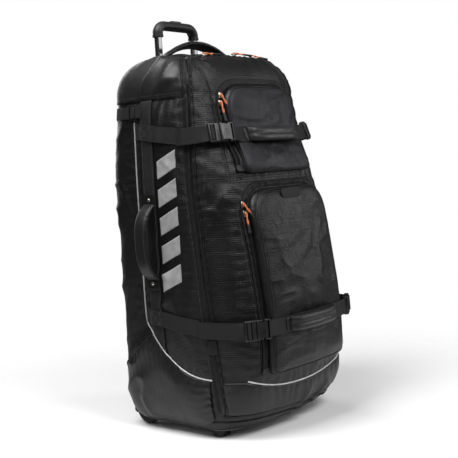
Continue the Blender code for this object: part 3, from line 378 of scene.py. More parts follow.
finishes = {
    "print": printFinish("reflectivePrint"),
    "ripstop": ripstopFinish("satinRipstop", 0.0022, 0.0050, 0.37),
    "gusset": ripstopFinish("gussetRipstop", 0.0024, 0.0055, 0.35, 0.0045),
    "twill": twillFinish("diamondTwill"),
    "coated": coatedFinish("coatedCloth"),
    "coatedDark": coatedFinish("coatedClothDark", 0.0045, 0.009, 0.42),
    "webbing": webbingFinish("wovenWebbing"),
    "binding": webbingFinish("wovenBinding", 0.0035, 0.010),
    "plastic": plasticFinish("mouldedBlack"),
    "plasticSoft": plasticFinish("softTouchBlack", 0.009, 0.50, 900.0),
    "tube": tubeFinish("glossTube"),
    "piping": pipingFinish("silverPiping"),
    "orange": cordFinish("orangeCord", (0.62, 0.13, 0.022), (0.93, 0.34, 0.085)),
    "nickel": metalFinish("nickelPlate", (0.66, 0.62, 0.56), 0.26),
    "steel": metalFinish("brushedSteel", (0.50, 0.50, 0.51), 0.34),
    "rubber": rubberFinish("tyreRubber"),
    "lining": liningFinish("liningCloth"),
    "teeth": plasticFinish("coilNylon", 0.006, 0.30),
    "thread": cordFinish("sewingThread", (0.016, 0.016, 0.017), (0.040, 0.040, 0.043)),
}
print("finishes made")


form = {"width": 0.450, "top": 0.890, "back": 0.205, "front": 0.196, "shift": 0.02345, "ground": 0.025,
        "cap": 0.085, "crown": 0.014, "rimLead": 0.012, "hinge": 0.060, "wall": 0.0042,
        "backRadius": 0.050, "sideRadius": 0.022, "frontRadius": 0.045, "sideBulge": 0.004,
        "frontBulge": 0.003}
shoulder = form["top"] - form["cap"]
# share of the height; side and back inset; edge of the side; front corner in from the side;
# corner and middle depth
stations = (
    (0.000, 0.026, 0.018, 0.436, 0.056, 0.640, 0.690), (0.045, 0.010, 0.004, 0.477, 0.040, 0.810, 0.880),
    (0.123, 0.003, 0.000, 0.462, 0.037, 0.905, 0.975), (0.303, 0.000, 0.000, 0.400, 0.037, 0.925, 1.000),
    (0.484, 0.000, 0.002, 0.328, 0.042, 0.850, 0.930), (0.652, 0.000, 0.004, 0.267, 0.050, 0.755, 0.825),
    (0.742, 0.001, 0.006, 0.236, 0.055, 0.685, 0.745), (0.897, 0.003, 0.012, 0.215, 0.063, 0.485, 0.520),
    (1.000, 0.007, 0.022, 0.185, 0.073, 0.410, 0.455))
outlines = {}


def clamp(value, low=0.0, high=1.0):
    return min(max(value, low), high)


def station(z):
    share = clamp((z - form["ground"]) / (shoulder - form["ground"]))
    k = max([0] + [i for i in range(len(stations) - 1) if stations[i][0] <= share])
    a, b = stations[k], stations[k + 1]
    before, after = stations[max(k - 1, 0)], stations[min(k + 2, len(stations) - 1)]
    span = b[0] - a[0]
    t = (share - a[0]) / span
    found = []
    for p, q, r, s in zip(before[1:], a[1:], b[1:], after[1:]):
        m0, m1 = (r - p) / (b[0] - before[0]) * span, (s - q) / (after[0] - a[0]) * span
        found.append((2 * t ** 3 - 3 * t ** 2 + 1) * q + (t ** 3 - 2 * t ** 2 + t) * m0
                     + (3 * t ** 2 - 2 * t ** 3) * r + (t ** 3 - t ** 2) * m1)
    return found


def bend(before, corner, after, radius, count):
    start, end = (corner + (p - corner).normalized() * radius for p in (before, after))
    return [start * (1 - i / count) ** 2 + corner * (2 * i / count * (1 - i / count)) + end * (i / count) ** 2
            for i in range(count + 1)]


def straight(a, b, count, bulge, out):
    return [a.lerp(b, i / count) + out * (bulge * math.sin(math.pi * i / count)) for i in range(1, count)]


# lengths, points and zip place of the right half of the body's outline at a height
def outline(z):
    key = round(z * 1e5)
    if key not in outlines:
        side, back, edge, corner, cornerDeep, middle = station(z)
        rise = clamp((z - shoulder) / form["cap"])
        turnIn = 1 - math.sqrt(max(1 - rise * rise, 0))
        half = form["width"] / 2 - side - 0.048 * turnIn
        backY = form["back"] - back - 0.080 * turnIn
        edgeY = -edge * form["front"] + 0.045 * turnIn
        corners = [Vector((0, backY)), Vector((half, backY)), Vector((half, edgeY)),
                   Vector((half - corner, -cornerDeep * form["front"] + 0.050 * turnIn)),
                   Vector((0, -middle * form["front"] + 0.050 * turnIn))]
        b = bend(*corners[0:3], form["backRadius"], 12)
        c = bend(*corners[1:4], form["sideRadius"], 8)
        d = bend(*corners[2:5], form["frontRadius"], 12)
        puff = clamp((z - 0.03) / 0.10) * clamp((form["top"] - z) / 0.12)
        points = ([corners[0]] + straight(corners[0], b[0], 8, 0, Vector((0, 1))) + b
                  + straight(b[-1], c[0], 14, form["sideBulge"] * puff, Vector((1, 0))) + c
                  + straight(c[-1], d[0], 6, 0.002 * puff, Vector((0.8, -0.6))) + d
                  + straight(d[-1], corners[4], 10, form["frontBulge"] * puff * 0.5, Vector((0, -1)))
                  + [corners[4]])
        lengths = [0.0]
        for p, q in zip(points, points[1:]):
            lengths.append(lengths[-1] + (q - p).length)
        rimY = edgeY - form["rimLead"]
        rim = next(lengths[i] + (lengths[i + 1] - lengths[i]) * (p.y - rimY) / (p.y - q.y)
                   for i, (p, q) in enumerate(zip(points, points[1:])) if p.y >= rimY > q.y)
        outlines[key] = (lengths, [p.x for p in points], [p.y + form["shift"] for p in points], rim)
    return outlines[key]


def between(value, places, results):
    low, high = 0, len(places) - 1
    value = clamp(value, places[0], places[-1])
    while high - low > 1:
        mid = (low + high) // 2
        low, high = (mid, high) if places[mid] <= value else (low, mid)
    step = places[high] - places[low]
    t = (value - places[low]) / step if step else 0.0
    return results[low] + (results[high] - results[low]) * t


# a place on the body by its distance round from the back's middle: negative on the left
def onBody(z, s):
    z = clamp(z, form["ground"], form["top"])
    lengths, xs, ys, _ = outline(z)
    return Vector((math.copysign(between(abs(s), lengths, xs), s), between(abs(s), lengths, ys), z))


def rimAt(z):
    return outline(z)[3]


def roundTo(z, y, side=1):
    lengths, _, ys, _ = outline(z)
    return side * between(-y, [-v for v in ys], lengths)


def acrossTo(z, x):
    lengths, xs, _, rim = outline(z)
    k = next(i for i, v in enumerate(lengths) if v > rim - 0.01)
    return math.copysign(between(-abs(x), [-v for v in xs[k:]], lengths[k:]), x)


def crownAt(x, y):
    _, xs, ys, _ = outline(form["top"])
    middle = (ys[0] + ys[-1]) / 2
    reach = math.hypot(x, y - middle)
    if not crownRim:
        crownRim.extend(sorted((math.atan2(px, py - middle), math.hypot(px, py - middle)) for px,
                               py in zip(xs, ys)))
    turn = math.atan2(abs(x), y - middle)
    edge = between(turn, [c[0] for c in crownRim], [c[1] for c in crownRim])
    return form["top"] + form["crown"] * max(1 - min(reach / edge, 1) ** 2, 0) ** 0.65


crownRim = []


def smoothLine(points, step):
    points = [Vector(p) for p in points]
    fine = []
    for i in range(len(points) - 1):
        a, b, c, d = (points[clamp(k, 0, len(points) - 1)] for k in (i - 1, i, i + 1, i + 2))
        for j in range(16):
            t = j / 16
            fine.append(b + ((c - a) * t + (a * 2 - b * 5 + c * 4 - d) * t * t
                             + (b * 3 - a - c * 3 + d) * t ** 3) * 0.5)
    fine.append(points[-1])
    return evenly(fine, step)


def evenly(points, step):
    lengths = [0.0]
    for p, q in zip(points, points[1:]):
        lengths.append(lengths[-1] + (q - p).length)
    count = max(2, round(lengths[-1] / step))
    found, k = [], 0
    for i in range(count + 1):
        at = lengths[-1] * i / count
        while k < len(lengths) - 2 and lengths[k + 1] < at:
            k += 1
        gap = lengths[k + 1] - lengths[k]
        found.append(points[k].lerp(points[k + 1], clamp((at - lengths[k]) / gap if gap else 0)))
    return found


def sideLine(places, side=1, step=0.004):
    return [onBody(p.y, roundTo(p.y, p.x + form["shift"], side)) for p in smoothLine(places, step)]


def frontLine(places, step=0.004):
    return [onBody(p.y, acrossTo(p.y, p.x)) for p in smoothLine(places, step)]


gussetPlaces = ((0.156, 0.868), (0.153, 0.835), (0.149, 0.80), (0.146, 0.765), (0.148, 0.72), (0.156, 0.65),
                (0.162, 0.595))
lowerBandPlaces = ((0.158, 0.593), (0.164, 0.50), (0.171, 0.40), (0.178, 0.30), (0.180, 0.22), (0.178, 0.150))


def pipingHeight(share):
    return 0.112 + 0.030 * abs(share) ** 2.4


def frontPipingPlaces(count=24):
    half = 0.187
    return [(half * math.sin(math.pi / 2 * (2 * i / count - 1)),
             pipingHeight(math.sin(math.pi / 2 * (2 * i / count - 1)))) for i in range(count + 1)]


def guardTop(y):
    rear, front = 0.100, -0.0845
    return 0.262 - 0.118 * (1 - (1 - clamp((rear - y) / (rear - front))) ** 2.4)


sidePipingPlaces = ([(0.108, z / 1000) for z in range(748, 300, -49)]
                    + [(0.1074, 0.287), (0.1054, 0.2725), (0.1012, 0.2615)]
                    + [(0.095 - 0.01795 * i, guardTop(0.095 - 0.01795 * i)) for i in range(11)])


def rimPoints(side, step=0.004):
    heights = [0.061 + (shoulder - 0.061) * i / 160 for i in range(161)]
    heights += [shoulder + form["cap"] * math.sin(math.radians(a)) for a in range(4, 90, 4)] + [form["top"]]
    return evenly([onBody(z, side * rimAt(z)) for z in heights], step)


def crownLine(step=0.004):
    end = onBody(form["top"], rimAt(form["top"]))
    return evenly([Vector((end.x * (1 - i / 20), end.y + 0.004 * math.sin(math.pi * i / 40),
                           crownAt(end.x * (1 - i / 20), end.y))) for i in range(41)], step)


seamRuns = [rimPoints(1), rimPoints(-1), crownLine()]
for side in (1, -1):
    seamRuns.append(frontLine([(side * x, z) for x, z in gussetPlaces]))
    seamRuns.append(frontLine([(side * x, z) for x, z in lowerBandPlaces]))
    seamRuns.append(sideLine(sidePipingPlaces, side))
    seamRuns.append(sideLine([(0.150, 0.795), (0.06, 0.795), (-0.020, 0.793)], side))
    seamRuns.append([onBody(z / 1000, side * (rimAt(z / 1000) - 0.0135)) for z in range(64, 800, 4)])
seamRuns.append(frontLine([(-0.172, 0.593), (-0.08, 0.593), (0.08, 0.593), (0.172, 0.593)]))
seamRuns.append(frontLine(frontPipingPlaces()))

seamPoints = [(p, 0.004 * k + 0.7 * n) for n, run in enumerate(seamRuns) for k, p in enumerate(run)]
seamTree = KDTree(len(seamPoints))
for k, (p, _) in enumerate(seamPoints):
    seamTree.insert(p, k)
seamTree.balance()

folds = {"groove": 0.0022, "puff": 0.0034, "pucker": 0.0016, "soft": 0.0062, "crease": 0.0070}


# how far the cloth stands off its plain form: seams pull it in, and it creases between them
def relief(p):
    _, k, gap = seamTree.find(p)
    along = seamPoints[k][1]
    calm = 1 - math.exp(-(gap / 0.028) ** 2)
    drop = -folds["groove"] * math.exp(-(gap / 0.0045) ** 2) + folds["puff"] * calm
    drop += (folds["pucker"] * math.exp(-gap / 0.020) * (1 - math.exp(-(gap / 0.005) ** 2))
             * math.sin(along * 260 + 5 * noise.noise(p * 22)))
    heldFlat = clamp((p.y - 0.15) / 0.04) * clamp((0.19 - abs(p.x)) / 0.05)   # by the back board
    slack = 1 - 0.65 * heldFlat
    drop += folds["soft"] * slack * noise.noise(p * 6.5 + Vector((3, 1, 7))) * (0.35 + 0.65 * calm)
    bent = p + noise.noise_vector(p * 4.5) * 0.055
    slant = Vector((bent.x + bent.z * 0.35, bent.y + bent.z * 0.35, bent.z * 0.75)) * 15
    ridge = max(1 - abs(noise.noise(slant)) * 3.0, 0) ** 1.5
    area = clamp(noise.noise(p * 5 + Vector((9, 4, 2))) * 2.2 + 0.55)
    return drop + folds["crease"] * slack * ridge * calm * area


def skin(z, s, lift=0.0, plain=False):
    e = 0.003
    a, b, low, high = onBody(z, s - e), onBody(z, s + e), onBody(z - e, s), onBody(z + e, s)
    out = (high - low).cross(b - a).normalized()
    p = onBody(z, s)
    return p + out * (lift + (0 if plain else relief(p))), out


def crownSkin(x, y, lift=0.0):
    e = 0.003
    p = Vector((x, y, crownAt(x, y)))
    out = Vector((crownAt(x - e, y) - crownAt(x + e, y), crownAt(x, y - e) - crownAt(x, y + e),
                  2 * e)).normalized()
    return p + out * (relief(p) + lift), out


def restNothing():
    bpy.ops.object.select_all(action="DESELECT")


def pieceFrom(name, bm, finish, body, smooth=True, sharp=None):
    mesh = bpy.data.meshes.new(name)
    bm.to_mesh(mesh)
    bm.free()
    piece = bpy.data.objects.new(name, mesh)
    bpy.context.scene.collection.objects.link(piece)
    for kind in [finish] if isinstance(finish, str) else finish:
        mesh.materials.append(finishes[kind])
    if smooth:
        mesh.shade_smooth()
    if sharp:
        mesh.set_sharp_from_angle(angle=math.radians(sharp))
    if body:
        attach(piece, body)
    return piece


def wear(piece, kind, **settings):
    made = piece.modifiers.new(kind.title(), kind)
    for key, value in settings.items():
        setattr(made, key, value)
    restNothing()
    bpy.context.view_layer.objects.active = piece
    piece.select_set(True)
    bpy.ops.object.modifier_apply(modifier=made.name)


def addRows(bm, rows, flat, closed=False, flip=False):
    uv = bm.loops.layers.uv.verify()
    grid = [[bm.verts.new(p) for p in row] for row in rows]
    across = len(rows[0])
    for i in range(len(rows) - 1):
        for j in range(across if closed else across - 1):
            k = (j + 1) % across
            places = [(i, j), (i, k), (i + 1, k), (i + 1, j)]
            if flip:
                places.reverse()
            face = bm.faces.new([grid[a][b] for a, b in places])
            for loop, (a, b) in zip(face.loops, places):
                loop[uv].uv = flat(a, b if b or not closed or j < across - 1 else across)
    return grid


def weld(bm, gap=0.00002):
    bmesh.ops.remove_doubles(bm, verts=bm.verts[:], dist=gap)


# turn an open sheet so that its faces look the way that the wanted direction says
def faceOut(bm, wanted):
    bm.normal_update()
    total = sum(f.normal.dot(wanted(f.calc_center_median())) * f.calc_area() for f in bm.faces)
    if total < 0:
        bmesh.ops.reverse_faces(bm, faces=bm.faces[:])


def awayFromBag(p):
    return (p - Vector((0, form["shift"], clamp(p.z, 0.2, 0.7)))).normalized()


tubCloth = {"columns": 84, "frontColumns": 42, "rows": 128, "wall": 0.0042}


def levelsFrom(low):
    count = tubCloth["rows"]
    levels = [low + (shoulder - low) * i / count for i in range(count + 1)]
    return levels + [shoulder + form["cap"] * math.sin(math.radians(a))
                     for a in range(5, 90, 5)] + [form["top"]]


def crownRows(front, count):
    end = onBody(form["top"], rimAt(form["top"]))
    lengths = outline(form["top"])[0]
    half = tubCloth["frontColumns"] if front else tubCloth["columns"]
    rows, flats = [], []
    for i in range(count + 1):
        row, flat = [], []
        for k in range(2 * half + 1):
            t = 1 - k / half
            if front:
                s = math.copysign(lengths[-1] - (lengths[-1] - rimAt(form["top"])) * abs(t), t or 1)
            else:
                s = rimAt(form["top"]) * t
            edge = onBody(form["top"], s)
            line = Vector((end.x * t, end.y + 0.004 * math.cos(math.pi / 2 * t), 0))
            spot = edge.lerp(line, i / count)
            point, _ = crownSkin(spot.x, spot.y) if i else skin(form["top"], s)
            row.append(point)
            flat.append((spot.x, spot.y + 1.2))
        rows.append(row)
        flats.append(flat)
    return rows, flats


def makeTub():
    bm = bmesh.new()
    half, front = tubCloth["columns"], tubCloth["frontColumns"]
    levels = levelsFrom(form["hinge"])

    def columns(z, whole):
        rim, length = rimAt(z), outline(z)[0][-1]
        own = [rim * (1 - k / half) for k in range(2 * half + 1)]
        if not whole:
            return own
        ahead = [length - (length - rim) * k / front for k in range(front)]
        return ahead + own + [-s for s in reversed(ahead)]

    for heights, whole in ((levels, False), ([0.025, 0.0275, 0.031, 0.036, 0.043, 0.051, form["hinge"]],
                                             True)):
        places = [columns(z, whole) for z in heights]
        rows = [[skin(z, s)[0] for s in row] for z, row in zip(heights, places)]
        addRows(bm, rows, lambda a, b, places=places, heights=heights: (places[a][b], heights[a]))
    rows, flats = crownRows(False, 16)
    addRows(bm, rows, lambda a, b: flats[a][b])
    base = [skin(0.025, s)[0] for s in columns(0.025, True)]
    middle = Vector((0, form["shift"] + 0.01, 0))
    rows = [base]
    for share, z in ((0.97, 0.0225), (0.92, 0.0212), (0.75, 0.021), (0.5, 0.021), (0.25, 0.021),
                     (0.02, 0.021)):
        rows.append([Vector((p.x * share, middle.y + (p.y - middle.y) * share, z)) for p in base])
    addRows(bm, rows, lambda a, b: (rows[a][b].x, rows[a][b].y))
    weld(bm)
    faceOut(bm, awayFromBag)
    tub = pieceFrom("bagBody", bm, ["ripstop", "lining"], None)
    wear(tub, "SOLIDIFY", thickness=tubCloth["wall"], offset=-1, material_offset=1, material_offset_rim=0)
    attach(tub, "root")
    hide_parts("main_shell")
    return tub


def makeFlap():
    bm = bmesh.new()
    front = tubCloth["frontColumns"]
    heights = levelsFrom(form["hinge"] + 0.0012)
    places = []
    for z in heights:
        rim, length = rimAt(z) + 0.0007, outline(z)[0][-1]
        ahead = [rim + (length - rim) * k / front for k in range(front + 1)]
        places.append(ahead + [-s for s in reversed(ahead[:-1])])
    rows = [[skin(z, s)[0] for s in row] for z, row in zip(heights, places)]
    addRows(bm, rows, lambda a, b: (places[a][b], heights[a]))
    rows, flats = crownRows(True, 10)
    rows = [[p + Vector((0, -0.0008 * i / 10, 0)) for p in row] for i, row in enumerate(rows)]
    addRows(bm, rows, lambda a, b: flats[a][b])
    weld(bm)
    faceOut(bm, awayFromBag)
    flap = pieceFrom("bagFlap", bm, ["gusset", "lining"], None)
    wear(flap, "SOLIDIFY", thickness=tubCloth["wall"], offset=-1, material_offset=1, material_offset_rim=0)
    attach(flap, "flap")
    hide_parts("front_flap")
    return flap


bagBody = makeTub()
bagFlap = makeFlap()
print("body and flap cut")


def layPatch(name, body, finish, rows, count, place, lift=0.0012, thick=0.0011, push=None, node=None,
             turned=False):
    bm = bmesh.new()
    places = [[place(i / rows, j / count) for j in range(count + 1)] for i in range(rows + 1)]
    grid = [[skin(z, s, lift + (push(i / rows, j / count) if push else 0))[0] for j, (z, s) in enumerate(row)]
            for i, row in enumerate(places)]
    addRows(bm, grid, lambda a, b: places[a][b] if turned else (places[a][b][1], places[a][b][0]))
    faceOut(bm, awayFromBag)
    patch = pieceFrom(name, bm, finish, None)
    wear(patch, "SOLIDIFY", thickness=thick, offset=1)
    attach(patch, body)
    if node:
        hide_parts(node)
    return patch


stitchPieces = {}


# a row of sewing thread: points on the cloth, with the way out at each
def stitch(body, run, pitch=0.0044, length=0.0030, radius=0.00042, lift=0.0004):
    bm = stitchPieces.setdefault(body, bmesh.new())
    points = [p for p, _ in run]
    places = evenly(points, pitch)
    k = 0
    for p, q in zip(places, places[1:]):
        while k < len(points) - 2 and (points[k + 1] - p).length < (points[k] - p).length:
            k += 1
        out = run[k][1]
        along = (q - p).normalized()
        across = along.cross(out).normalized() * radius
        high = out * radius
        middle = (p + q) / 2 + out * lift
        step = along * (length / 2)
        ring = [[middle - step * 1.0 + across * a * 0.5 + high * b * 0.2 for a,
                 b in ((-1, -1), (1, -1), (1, 1), (-1, 1))],
                [middle + across * a + high * b for a, b in ((-1, -1), (1, -1), (1, 1), (-1, 1))],
                [middle + step * 1.0 + across * a * 0.5 + high * b * 0.2 for a,
                 b in ((-1, -1), (1, -1), (1, 1), (-1, 1))]]
        loops = [[bm.verts.new(v) for v in r] for r in ring]
        for a, b in zip(loops, loops[1:]):
            for i in range(4):
                bm.faces.new((a[i], a[(i + 1) % 4], b[(i + 1) % 4], b[i]))
        bm.faces.new(loops[0][::-1])
        bm.faces.new(loops[-1])


def tube(name, points, radius, finish, body, sides=8, closed=False, squeeze=None, node=None):
    bm = bmesh.new()
    rings, count = [], len(points)
    previous = None
    for i, p in enumerate(points):
        a = points[(i - 1) % count] if closed else points[max(i - 1, 0)]
        b = points[(i + 1) % count] if closed else points[min(i + 1, count - 1)]
        along = (b - a).normalized()
        side = along.cross(Vector((0.21, 0.37, 0.90)) if previous is None else previous).normalized()
        previous = side.cross(along).normalized()
        size = radius * (squeeze(i / (count - 1)) if squeeze else 1)
        rings.append([p + (side * math.cos(2 * math.pi * k / sides) + previous
                           * math.sin(2 * math.pi * k / sides)) * size
                      for k in range(sides)])
    if closed:
        rings.append(rings[0])
    grid = addRows(bm, rings, lambda a, b: (a * 0.004, b * 2 * math.pi * radius / sides), closed=True)
    if closed:
        weld(bm)
    else:
        bm.faces.new(grid[0][::-1])
        bm.faces.new(grid[-1])
    bmesh.ops.recalc_face_normals(bm, faces=bm.faces[:])
    made = pieceFrom(name, bm, finish, body)
    if node:
        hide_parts(node)
    return made


def sideName(name, side):
    return name + ("Left" if side < 0 else "Right")


def tagged(name, side):
    return name + ("_left" if side < 0 else "_right")


trim = {"cord": 0.0013, "welt": 0.0014, "fine": 0.0012, "elastic": 0.0024, "base": 0.0022, "silver": 0.0020}


def guardUpper(y):
    return guardTop(y) - 0.0035 if y < 0.088 else min(guardTop(0.088) - 0.0035, 0.2405 - (y - 0.088) * 0.86)


def shoulderPatch(side):
    def place(u, v):
        low = 0.796 - 0.010 * clamp((v - 0.75) / 0.25)
        z = low + (shoulder - low) * clamp(u / 0.12)
        if u > 0.12:
            z = shoulder + form["cap"] * math.sin((u - 0.12) / 0.88 * math.pi / 2 * 0.93)
        front = rimAt(z) - 0.0145
        rear = 0.105
        return z, side * (front + (rear - front) * v)
    layPatch(sideName("shoulderPanel", side), "root", "coated", 26, 56, place)
    edge = [place(0, v / 60) for v in range(61)]
    stitch("root", [skin(z + 0.0035, s, 0.0024) for z, s in edge])
    stitch("root", [skin(z + 0.0085, s, 0.0024) for z, s in edge])
    tube(sideName("shoulderSeam", side), [skin(z - 0.0006, s, 0.0010)[0] for z, s in edge], trim["cord"],
         "binding", "root")


def lowerGuard(side):
    pleat = {"deep": 0.0022, "count": 22}

    def place(u, v):
        front = -0.0800
        y = front + (0.196 - front) * clamp(v / 0.84)
        top = guardUpper(y)
        low = 0.0335 if y > -0.05 else 0.0335 + (-0.05 - y) * 0.6
        z = low + (top - low) * u
        s = roundTo(z, y + form["shift"])
        if v > 0.84:
            s = s + (0.110 - s) * (v - 0.84) / 0.16
        s = min(s, rimAt(z) - 0.0145)
        return z, side * s

    def push(u, v):
        gather = math.exp(-(1 - u) / 0.20) * clamp((v - 0.30) / 0.2) + math.exp(-v / 0.10) * 0.7
        return pleat["deep"] * gather * (0.5 + 0.5 * math.sin(v * pleat["count"] * 2 * math.pi + 2
                                                              * math.sin(u * 4))
                                         if v > 0.2 else 0.5 + 0.5
                                         * math.sin(u * 38 + v * 9)) + 0.0018 * math.sin(math.pi * u)
    layPatch(sideName("lowerGuard", side), "root", "coatedDark", 40, 90, place, 0.0012, 0.0012, push,
             tagged("side_guard", side))
    rear = [place(1, v / 80) for v in range(22, 81)]
    tube(sideName("guardElastic", side), [skin(z + 0.001, s, 0.0024)[0] for z, s in rear], trim["elastic"],
         "binding", "root")


def sidePiping(side):
    run = sideLine(sidePipingPlaces, side)
    points = []
    for p in run:
        over = 0.0014 * clamp((0.025 - abs(p.y - form["shift"] - 0.064)) / 0.005) * (p.z < 0.27)
        points.append(skin(p.z, roundTo(p.z, p.y, side), 0.0016 + over)[0])
    tube(sideName("silverPiping", side), points, trim["silver"], "piping", "root",
         node=tagged("side_piping", side))


def frontPiping():
    run = frontLine(frontPipingPlaces())
    points = [skin(p.z, acrossTo(p.z, p.x), 0.0016)[0] for p in run]
    tube("frontSilverPiping", points, trim["silver"], "piping", "flap", node="front_piping")

    def place(u, v):
        x = 2 * v - 1
        length, rim = outline(0.12)[0][-1], rimAt(0.12) + 0.0125
        top = pipingHeight(clamp(onBody(0.12, length - (length - rim) * abs(x)).x / 0.187)) - 0.0022
        low = 0.0635
        z = low + (top - low) * u
        length, rim = outline(z)[0][-1], rimAt(z) + 0.0125
        return z, math.copysign(length - (length - rim) * abs(x), x or 1)
    layPatch("frontLowerPanel", "flap", "coatedDark", 14, 100, place, 0.0008, 0.0010,
             lambda u, v: 0.0018 * math.sin(math.pi * u))


# the pairs of welts that run beside the main zip
def zipWelts():
    heights = [0.068 + (shoulder - 0.068) * i / 150 for i in range(151)]
    heights += [shoulder + form["cap"] * math.sin(math.radians(a)) for a in range(4, 84, 5)]
    for side in (-1, 1):
        for body, offset in (("root", -0.0105), ("flap", 0.0108)):
            points = [skin(z, side * (rimAt(z) + offset), 0.0010)[0] for z in heights]
            tube(sideName(body + "ZipWelt", side), points, trim["welt"], "binding", body)
    for body, offset in (("root", 0.0105), ("flap", -0.0108)):
        line = [crownSkin(p.x, p.y + offset, 0.0008)[0] for p in crownLine()[3:-3]]
        tube(body + "CrownWelt", line, trim["welt"], "binding", body)


def seamCords():
    for side in (-1, 1):
        points = [skin(p.z, acrossTo(p.z, p.x), 0.0006)[0] for p in frontLine([(side * x, z) for x,
                                                                               z in gussetPlaces])]
        tube(sideName("gussetSeam", side), points, trim["cord"], "binding", "flap")
        run = frontLine([(side * x, z) for x, z in gussetPlaces])
        for offset in (0.005, -0.005):
            stitch("flap", [skin(p.z, acrossTo(p.z, p.x) + side * offset) for p in run])
        run = [(z / 1000, side * (rimAt(z / 1000) - 0.0138)) for z in range(66, 796, 5)]
        tube(sideName("sideEdgeSeam", side), [skin(z, s, 0.0006)[0] for z, s in run], trim["fine"], "binding",
             "root")
        stitch("root", [skin(z, s - side * 0.0045) for z, s in run])
    run = frontLine([(-0.168, 0.593), (-0.08, 0.593), (0.08, 0.593), (0.168, 0.593)])
    tube("frontAcrossSeam", [skin(p.z, acrossTo(p.z, p.x), 0.0006)[0] for p in run], trim["cord"], "binding",
         "flap")
    for offset in (0.005, -0.005):
        stitch("flap", [skin(p.z + offset, acrossTo(p.z, p.x)) for p in run])
    for side in (-1, 1):
        for s in (0.052, 0.158):
            stitch("root", [skin(z / 1000, side * s) for z in range(250, 792, 6)])
        tube(sideName("rearSeam", side), [skin(z / 1000, side * 0.1060, 0.0006)[0]
                                          for z in range(70, 800, 6)],
             trim["cord"], "binding", "root")
    length = outline(0.044)[0][-1]
    ring = [skin(0.044, length * (1 - k / 110), 0.0008)[0] for k in range(220)]
    tube("bottomPiping", ring, trim["base"], "binding", "root", closed=True)
    layPatch("rearLowerPanel", "root", "coatedDark", 26, 60, lambda u,
             v: (0.046 + 0.196 * u, (2 * v - 1) * 0.105),
             0.0006, 0.0010)
    tube("rearPanelSeam", [skin(0.2425, (2 * k / 60 - 1) * 0.105, 0.0010)[0] for k in range(61)],
         trim["welt"],
         "binding", "root")
    zipWelts()


for side in (-1, 1):
    shoulderPatch(side)
    lowerGuard(side)
    sidePiping(side)
frontPiping()
seamCords()
print("panels and seams laid")


zipGauge = {"tape": 0.0092, "tapeThick": 0.0007, "pitch": 0.0023, "tooth": (0.0026, 0.0015, 0.0016)}


def zipHalf(name, body, frames, toSide, tape=None):
    bm = bmesh.new()
    wide = tape or zipGauge["tape"]
    rows = []
    for p, out, across in frames:
        rows.append([p + across * (toSide * w) + out * lift
                     for w, lift in ((0.0006, 0.0016), (0.0035, 0.0018), (wide, 0.0009))])
    addRows(bm, rows, lambda a, b: (a * 0.004, b * 0.0045))
    outs = [f[1] for f in frames]
    bm.normal_update()
    if sum(f.normal.dot(outs[min(i // 2, len(outs) - 1)]) for i, f in enumerate(bm.faces)) < 0:
        bmesh.ops.reverse_faces(bm, faces=bm.faces[:])
    tapePiece = pieceFrom(name + "Tape", bm, "binding", None)
    wear(tapePiece, "SOLIDIFY", thickness=zipGauge["tapeThick"], offset=1)
    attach(tapePiece, body)

    bm = bmesh.new()
    wide, long, high = zipGauge["tooth"]
    total = sum((b[0] - a[0]).length for a, b in zip(frames, frames[1:]))
    count = int(total / zipGauge["pitch"])
    places = evenly([f[0] for f in frames], total / count)
    k = 0
    for i, (p, q) in enumerate(zip(places, places[1:])):
        while k < len(frames) - 2 and (frames[k + 1][0] - p).length < (frames[k][0] - p).length:
            k += 1
        out, across = frames[k][1], frames[k][2]
        along = (q - p).normalized()
        at = p.lerp(q, 0.5 * (toSide > 0)) + out * 0.0020 + across * (toSide * 0.0011)
        corners = []
        for lift, grow in ((0, 1.0), (high * 0.7, 1.0), (high, 0.55)):
            corners.append([bm.verts.new(at + across * (a * wide / 2 * grow) + along
                                         * (b * long / 2 * grow) + out * lift)
                            for a, b in ((-1, -1), (1, -1), (1, 1), (-1, 1))])
        for low, top in zip(corners, corners[1:]):
            for j in range(4):
                bm.faces.new((low[j], low[(j + 1) % 4], top[(j + 1) % 4], top[j]))
        bm.faces.new(corners[-1])
        bm.faces.new(corners[0][::-1])
    bmesh.ops.recalc_face_normals(bm, faces=bm.faces[:])
    pieceFrom(name + "Teeth", bm, "teeth", body, smooth=False)


def mainZip():
    frames = []
    for side in (1, -1):
        run = []
        heights = [0.0665 + (shoulder - 0.0665) * i / 180 for i in range(181)]
        heights += [shoulder + form["cap"] * math.sin(math.radians(a)) for a in range(4, 88, 4)]
        for z in heights:
            s = side * rimAt(z)
            p, out = skin(z, s)
            ahead = skin(z, s + side * 0.003)[0] - skin(z, s - side * 0.003)[0]
            run.append((p, out, ahead.normalized()))
        if side > 0:
            frames = run
        else:
            frames = frames + crownFrames() + run[::-1]
    return frames


def crownFrames():
    found = []
    for p in crownLine()[1:-1]:
        point, out = crownSkin(p.x, p.y)
        found.append((point, out, (crownSkin(p.x, p.y - 0.003)[0]
                                   - crownSkin(p.x, p.y + 0.003)[0]).normalized()))
    return found


zipFrames = mainZip()
zipHalf("bodyZip", "root", zipFrames, -1)
zipHalf("flapZip", "flap", zipFrames, 1)
print("main zip sewn")


lids = {
    "upper": {"width": 0.252, "bottom": 0.612, "height": 0.205, "depth": 0.020, "strap": 0.703,
              "cloth": "twill",
              "zipStops": (0.622, 0.742)},
    "lower": {"width": 0.284, "bottom": 0.150, "height": 0.425, "depth": 0.026, "strap": 0.262,
              "cloth": "gusset",
              "zipStops": (0.158, 0.498)},
}


